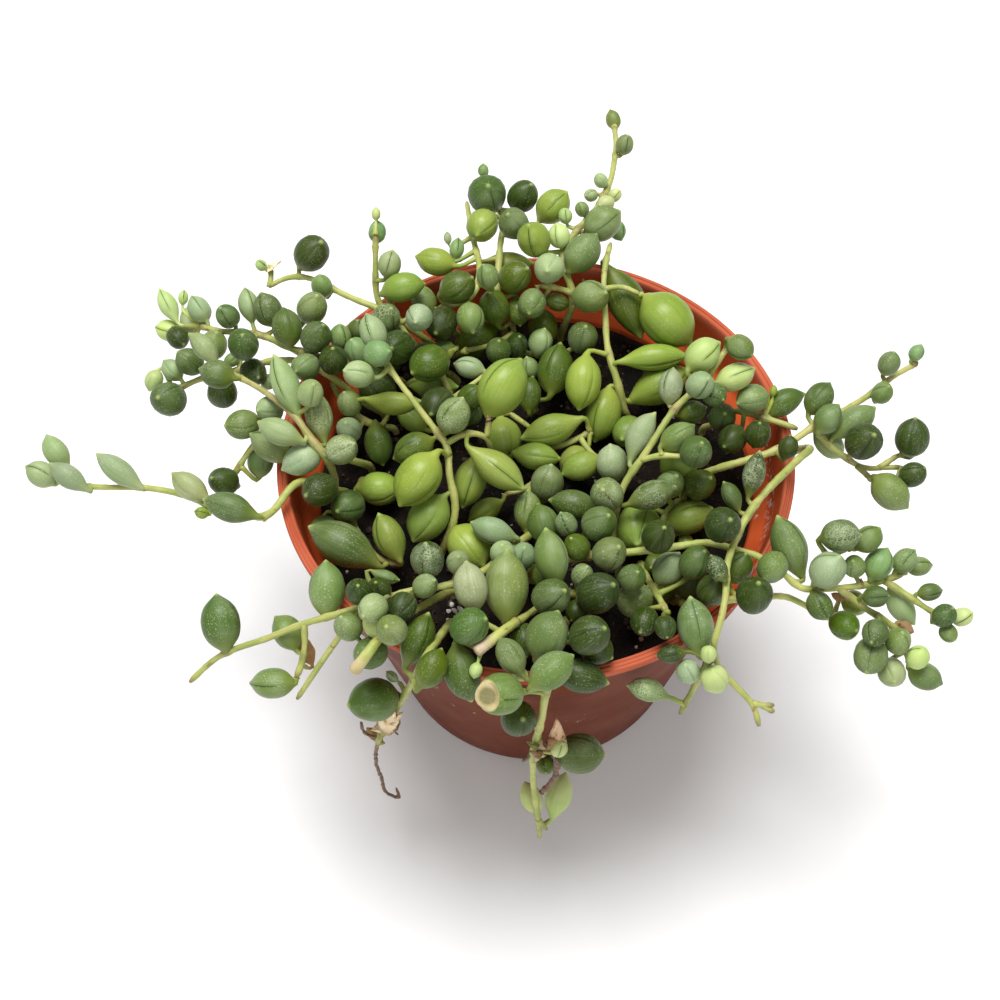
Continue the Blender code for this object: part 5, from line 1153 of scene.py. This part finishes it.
def pot_material():
    """Terracotta-coloured plastic: glossy lip, the outer wall painted darker as shade, scuffs and lime."""
    web = Web("pot_plastic_skin")
    spot = web.place()
    parts = web.node("ShaderNodeSeparateXYZ")
    web.feed(parts.inputs[0], spot)
    x, y, z = parts.outputs
    ring = web.maths("SQRT", web.maths("ADD", web.times(x, x), web.times(y, y)))
    past_wall = web.maths("SUBTRACT", ring, web.maths("MULTIPLY_ADD", z, WALL_SLOPE, WALL_FOOT))
    past_collar = web.maths("SUBTRACT", ring, web.maths("MULTIPLY_ADD", z, COLLAR_SLOPE, COLLAR_FOOT))
    low = web.times(web.span(past_wall, -EDGE_BLUR, EDGE_BLUR), web.span(z, WALL_TOP, WALL_TOP - EDGE_BLUR))
    shaded_outside = web.times(web.maths("MAXIMUM", low, web.span(past_collar, -EDGE_BLUR, EDGE_BLUR)),
                        web.span(z, COLLAR_TOP, COLLAR_TOP - 0.0008))
    lip = web.span(z, LIP_LOW, LIP_HIGH)
    cloud = web.noise(spot, 60.0, 3.0)
    pairs = (POT_INNER, POT_SHADED_WALL, POT_EDGE)
    inner, wall, edge = [web.mix(web.span(cloud, 0.3, 0.7), *pair) for pair in pairs]
    # Painted shade: the outer wall below the lip takes the darker wall tone
    colour = web.mix(shaded_outside, web.mix(lip, inner, edge), wall)
    turn = web.maths("ARCTAN2", y, x)
    smears = web.noise(web.vector(web.times(turn, 3.0), web.times(z, 260.0), 0.0), 3.0, 4.0, 0.6)
    colour = web.mix(web.span(smears, 0.52, 0.76, 0.0, 0.03), colour, (0.46, 0.24, 0.17))
    bits = web.span(web.noise(spot, 520.0, 4.0, 0.65), 0.62, 0.68)
    band = web.span(web.noise(spot, 90.0, 1.0), 0.58, 0.66)
    front = web.times(web.span(z, 0.056, 0.059), web.span(z, 0.066, 0.063), web.span(x, 0.002, 0.006),
                      web.span(x, 0.023, 0.018), web.span(y, 0.0, -0.01))
    shelf = web.times(web.span(z, 0.0675, 0.069), web.span(z, 0.0725, 0.071), web.span(x, 0.030, 0.036),
                      web.span(y, -0.020, -0.014), web.span(y, 0.014, 0.008))
    crumbs = web.span(web.noise(spot, 900.0, 3.0, 0.6), 0.54, 0.60)
    lime = web.maths("MAXIMUM", web.times(bits, web.maths("MAXIMUM", web.times(band, 0.8), front)),
                     web.times(crumbs, shelf, 0.75))
    colour = web.mix(web.times(lime, 0.85), colour, (0.62, 0.54, 0.46))
    rough = web.maths("ADD", web.span(cloud, 0.2, 0.8, 0.40, 0.52), web.times(lime, 0.35))
    web.set(Base_Color=colour, Roughness=rough, Specular_IOR_Level=0.06)
    grain = web.maths("ADD", web.noise(spot, 1500.0, 2.0), web.times(smears, 0.2))
    web.bump(web.maths("ADD", grain, web.times(lime, 1.5)), 0.00012, 0.5)
    return web.material


def soil_material():
    web = Web("potting_soil_skin")
    spot = web.place()
    clods = web.noise(spot, 260.0, 5.0, 0.7)
    colour = web.mix(web.span(clods, 0.40, 0.70), (0.0035, 0.0028, 0.0020), (0.020, 0.012, 0.007))
    fibres = web.span(web.noise(spot, 900.0, 3.0, 0.6), 0.64, 0.74)
    colour = web.mix(fibres, colour, (0.085, 0.045, 0.022))
    web.set(Base_Color=colour, Roughness=web.span(clods, 0.3, 0.7, 0.85, 1.0), Specular_IOR_Level=0.2)
    web.bump(web.maths("ADD", clods, web.noise(spot, 1800.0, 3.0)), 0.0011, 1.0)
    return web.material


def grain_material(name, light, dark):
    web = Web(name)
    spot = web.place()
    patches = web.noise(spot, 700.0, 4.0, 0.65)
    colour = web.mix(web.span(patches, 0.35, 0.62), light, dark)
    web.set(Base_Color=colour, Roughness=web.span(patches, 0.3, 0.7, 0.7, 0.95))
    web.bump(web.noise(spot, 1500.0, 4.0, 0.7), 0.0004, 0.9)
    return web.material


# Pot

POT_FINE_STEPS = 160
POT_FINE = [(0.0, 1.4), (26.0, 1.4), (32.4, 1.5), (33.4, 2.4), (45.6, 66.4), (45.9, 66.9), (47.9, 67.7),
            (48.7, 68.4), (49.1, 69.8), (50.2, 77.6), (50.35, 78.6), (50.6, 78.95), (50.95, 79.0),
            (51.15, 78.75), (51.35, 78.75), (51.5, 79.0), (51.75, 79.0), (51.9, 78.7), (52.1, 78.65),
            (52.3, 78.75), (52.48, 78.6), (52.5, 78.1), (52.42, 77.75), (52.5, 77.4), (52.4, 76.9),
            (51.9, 76.6), (51.45, 76.35), (51.3, 75.9), (50.2, 67.6), (50.0, 67.0), (49.4, 66.7),
            (47.1, 66.2), (46.85, 65.9), (35.0, 3.2), (34.6, 1.2), (34.2, 0.35), (33.6, 0.0), (0.0, 0.0)]
DRAIN_HOLES = 8
DRAIN_RADIUS = 3.0
DRAIN_RING = 26.0


def make_pot():
    """The pot's wall, collar, ridged lip and foot, turned round its axis, with its drain holes."""
    profile = np.array(POT_FINE)
    turns = turns_of(POT_FINE_STEPS)
    inner = profile[1:-1]
    rings = np.stack([np.outer(inner[:, 0], np.cos(turns)), np.outer(inner[:, 0], np.sin(turns)),
                      np.repeat(inner[:, 1:], POT_FINE_STEPS, axis=1)], axis=2)
    points = np.vstack([rings.reshape(-1, 3), [[0.0, 0.0, profile[-1, 1]]], [[0.0, 0.0, profile[0, 1]]]])
    skin = Skin()
    skin.add(points, [face[::-1] for face in ring_faces(len(inner), POT_FINE_STEPS)], 0, (0.5, 0.1, 0.05))
    pot = skin.build("fine_pot", [pot_material()])
    shape = bmesh.new()
    for k in range(DRAIN_HOLES):
        turn = 2.0 * math.pi * (k + 0.5) / DRAIN_HOLES
        made = bmesh.ops.create_cone(shape, cap_ends=True, segments=32, radius1=DRAIN_RADIUS * MM,
                                     radius2=DRAIN_RADIUS * MM, depth=6.0 * MM)
        bmesh.ops.translate(shape, verts=made["verts"], vec=(DRAIN_RING * math.cos(turn) * MM,
                                                             DRAIN_RING * math.sin(turn) * MM, 0.0))
    cutter = put_shape("drain_hole_cutters", shape)
    cut = pot.modifiers.new("Cut", "BOOLEAN")
    cut.operation = "DIFFERENCE"
    cut.object = cutter
    graph = bpy.context.evaluated_depsgraph_get()
    mesh = bpy.data.meshes.new_from_object(pot.evaluated_get(graph))
    pot.modifiers.clear()
    pot.data = mesh
    bpy.data.objects.remove(cutter, do_unlink=True)
    pot.data.set_sharp_from_angle(angle=math.radians(50))
    return pot


# Soil, bark and perlite

SOIL_EDGE = 45.2
SOIL_FOOT = 32.9
SOIL_BOTTOM = 1.7
SOIL_STEPS_FINE = 150
SOIL_RINGS_FINE = 60
SOIL_LUMPS = 0.55
LUMP_SIZE = 7.0
BARK_BITS = 460
PERLITE_BITS = 46
PERLITE_SPOTS = """452 605 0.7, 461 611 1.1, 468 604 0.7, 457 620 0.9, 466 622 0.6, 449 612 0.6, 473 615 0.6,
455 612 0.8, 463 603 0.6, 448 621 0.5, 459 628 0.6, 604 652 0.5, 641 640 0.55, 636 648 0.4, 352 565 0.45,
347 572 0.4, 775 492 0.5, 780 502 0.6, 640 700 0.4"""


def soil_height(x, y):
    spot = Vector((x, y, 0.0)) / LUMP_SIZE
    rough = fractal(Vector((x, y, 4.0)) * 0.55, 0.7, 2.1, 4)
    return SOIL_TOP + noise(spot) * SOIL_LUMPS + 0.35 * rough


def make_soil():
    """Crumbly soil surface on the pot's fill."""
    turns = turns_of(SOIL_STEPS_FINE)
    radii = SOIL_EDGE * np.sqrt(np.linspace(0.0, 1.0, SOIL_RINGS_FINE + 1)[1:])
    rings = [(radius * math.cos(turn), radius * math.sin(turn)) for radius in radii for turn in turns]
    rings = [(x, y, soil_height(x, y)) for x, y in rings]
    rings += [(SOIL_FOOT * math.cos(turn), SOIL_FOOT * math.sin(turn), SOIL_BOTTOM) for turn in turns]
    points = np.array(rings + [(0.0, 0.0, SOIL_BOTTOM), (0.0, 0.0, soil_height(0.0, 0.0))])
    skin = Skin()
    skin.add(points, ring_faces(SOIL_RINGS_FINE + 1, SOIL_STEPS_FINE), 0, (0.02, 0.015, 0.01))
    return skin.build("fine_soil", [soil_material()])


def lump(skin, centre, size, stretch, draw):
    """A small rough stone or bark chip."""
    shape = bmesh.new()
    bmesh.ops.create_icosphere(shape, subdivisions=2, radius=1.0)
    turn = Euler(draw.uniform(0.0, 6.28, 3)).to_matrix()
    shift = Vector(draw.uniform(0.0, 40.0, 3))
    points = []
    for vertex in shape.verts:
        swell = size * (1.0 + 0.35 * noise(vertex.co * 1.6 + shift))
        points.append(Vector(centre) + turn @ Vector([vertex.co[k] * swell * stretch[k] for k in range(3)]))
    shape.verts.index_update()
    faces = [tuple(vertex.index for vertex in face.verts) for face in shape.faces]
    shape.free()
    skin.add(points, faces, 0, (0.5, 0.5, 0.5))


def scatter(name, count, sizes, thin, material, draw, spots):
    """Bits on the soil, at the places given and at random ones."""
    places = [(*sight(u, v, SOIL_TOP)[:2], size) for u, v, size in spots]
    for _ in range(count):
        ring = (SOIL_EDGE - 2.0) * math.sqrt(draw.uniform(0.0, 1.0))
        turn = draw.uniform(0.0, 2.0 * math.pi)
        places.append((ring * math.cos(turn), ring * math.sin(turn), draw.uniform(*sizes)))
    skin = Skin()
    for x, y, size in places:
        if math.hypot(x, y) < SOIL_EDGE - 1.0:
            stretch = (1.0, draw.uniform(thin, 1.0), draw.uniform(0.7 * thin, 0.8))
            lump(skin, (x, y, soil_height(x, y) + 0.15 * size), size, stretch, draw)
    return skin.build(name, [material])


# Light, floor and camera, in metres and watts

FLOOR_SIZE = 6.0
WORLD_LIGHT = 0.33
LAMP_AIM = (0.0, 0.0, 0.05)
LAMPS = {"top_light": ((-0.05, 0.16, 1.02), 0.58, 11.8), "front_light": ((0.05, -0.85, 0.60), 0.80, 2.6)}
SENSOR_WIDTH = 36.0


def area_light(name, place, size, power):
    lamp = bpy.data.lights.new(name, "AREA")
    lamp.shape = "DISK"
    lamp.size = size
    lamp.energy = power
    thing = put(name, lamp)
    thing.location = place
    thing.rotation_euler = (Vector(LAMP_AIM) - thing.location).to_track_quat("-Z", "Y").to_euler()


def make_studio():
    world = bpy.data.worlds.new("studio")
    world.use_nodes = True
    background = world.node_tree.nodes["Background"]
    background.inputs["Color"].default_value = (1.0, 1.0, 1.0, 1.0)
    background.inputs["Strength"].default_value = WORLD_LIGHT
    scene = bpy.context.scene
    scene.world = world
    shape = bmesh.new()
    bmesh.ops.create_grid(shape, x_segments=8, y_segments=8, size=FLOOR_SIZE / 2)
    floor = put_shape("floor", shape)
    web = Web("pale_floor")
    soft = web.noise(web.place(), 3.0, 2.0)
    web.set(Base_Color=web.mix(web.span(soft, 0.3, 0.7), (0.93, 0.93, 0.925), (0.95, 0.95, 0.95)),
            Roughness=web.span(soft, 0.3, 0.7, 0.75, 0.85))
    floor.data.materials.append(web.material)
    for name, (place, size, power) in LAMPS.items():
        area_light(name, place, size, power)
    scene.view_settings.view_transform = "Standard"
    camera = bpy.data.cameras.new("camera")
    camera.sensor_width = SENSOR_WIDTH
    camera.lens = SENSOR_WIDTH * FOCAL_PIXELS / PICTURE_PIXELS
    camera.shift_x = (0.5 * PICTURE_PIXELS - IMAGE_MIDDLE[0]) / PICTURE_PIXELS
    camera.shift_y = (IMAGE_MIDDLE[1] - 0.5 * PICTURE_PIXELS) / PICTURE_PIXELS
    camera.clip_start = 0.01
    thing = put("camera", camera)
    thing.location = Vector(EYE) * MM
    thing.rotation_euler = (math.radians(90.0) - LOOK_DOWN, 0.0, 0.0)
    scene.camera = thing


def dress(piece, node):
    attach(piece, "root")
    if node:
        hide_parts(node)


def hand_route(text, step):
    return smooth_route([sight(*place) for place in numbers_of(text)], step)


def make_strands():
    # The last colour of each leaf skin is its pale wax colour, also used for the painted highlight
    materials = [leaf_material("leaf_waxy", 0.04, 0.42, (0.50, 0.58, 0.35)),
                 leaf_material("leaf_green", 0.01, 0.36, (0.50, 0.58, 0.24)), stem_material(), dry_material()]
    for number, (name, (routes, leaves)) in enumerate(plan_strands().items()):
        draw = np.random.default_rng(FIRST_SEED + number)
        skin = Skin()
        seats = [leaf["start"] for leaf in leaves]
        for k, route in enumerate(routes):
            thick, thin = BRANCH_THICKNESS if k else STEM_THICKNESS
            route = route[route[:, 2] > STUB_HEIGHT.get(name, 0.0)]
            add_stem(skin, route, draw, thick, thin, TAN_STRANDS.get(name, 0.0), seats)
        for thick, thin, places in TWIGS.get(name, ()):
            add_twig(skin, hand_route(places, TWIG_ROUTE_STEP), draw, thick, thin)
        for thick, thin, tint, places in STUBS.get(name, ()):
            add_stub(skin, hand_route(places, STUB_ROUTE_STEP), draw, thick, thin, tint)
        for ends, width, tint in HUSKS.get(name, ()):
            add_husk(skin, *[sight(*end) for end in numbers_of(ends)], width, tint, draw)
        for leaf, entry in zip(leaves, numbers_of(STRANDS[name][1])):
            spot = tuple(entry[:2])
            kind = entry[5] if len(entry) > 5 else "waxy"
            slot = DRY_SLOT if kind in PAPERY else int(kind in GREEN_SKINS)
            if spot not in HUSKED:
                add_leaf(skin, leaf, kind, draw, slot, spot in NETTED, CLEFTS.get(spot, 0.0))
            if draw.uniform() < SCALE_SHARE:
                seat = leaf["start"]
                reach = unit(leaf["foot"] - seat + draw.normal(0.0, 0.4, 3))
                add_husk(skin, seat + reach * 0.5, seat + reach * draw.uniform(1.3, 2.0), 1.1,
                         STEM_TAN * draw.uniform(0.5, 1.2), draw)
        dress(skin.build("fine_" + name, materials), name)


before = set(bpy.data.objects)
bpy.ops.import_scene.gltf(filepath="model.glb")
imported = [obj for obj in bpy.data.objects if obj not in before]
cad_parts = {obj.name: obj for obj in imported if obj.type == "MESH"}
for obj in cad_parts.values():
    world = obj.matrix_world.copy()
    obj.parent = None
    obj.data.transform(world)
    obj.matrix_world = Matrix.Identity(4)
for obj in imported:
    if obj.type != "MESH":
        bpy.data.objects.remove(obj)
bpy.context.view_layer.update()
make_studio()
make_strands()
dress(make_pot(), "pot")
dress(make_soil(), "soil")
chance = np.random.default_rng(7)
bark_look = grain_material("bark", (0.070, 0.038, 0.020), (0.010, 0.007, 0.005))
perlite_look = grain_material("perlite", (0.60, 0.58, 0.53), (0.30, 0.27, 0.23))
dress(scatter("bark_bits", BARK_BITS, (0.35, 1.1), 0.35, bark_look, chance, ()), None)
perlite = scatter("perlite_bits", PERLITE_BITS, (0.2, 0.5), 0.75, perlite_look, chance,
                  numbers_of(PERLITE_SPOTS))
dress(perlite, None)
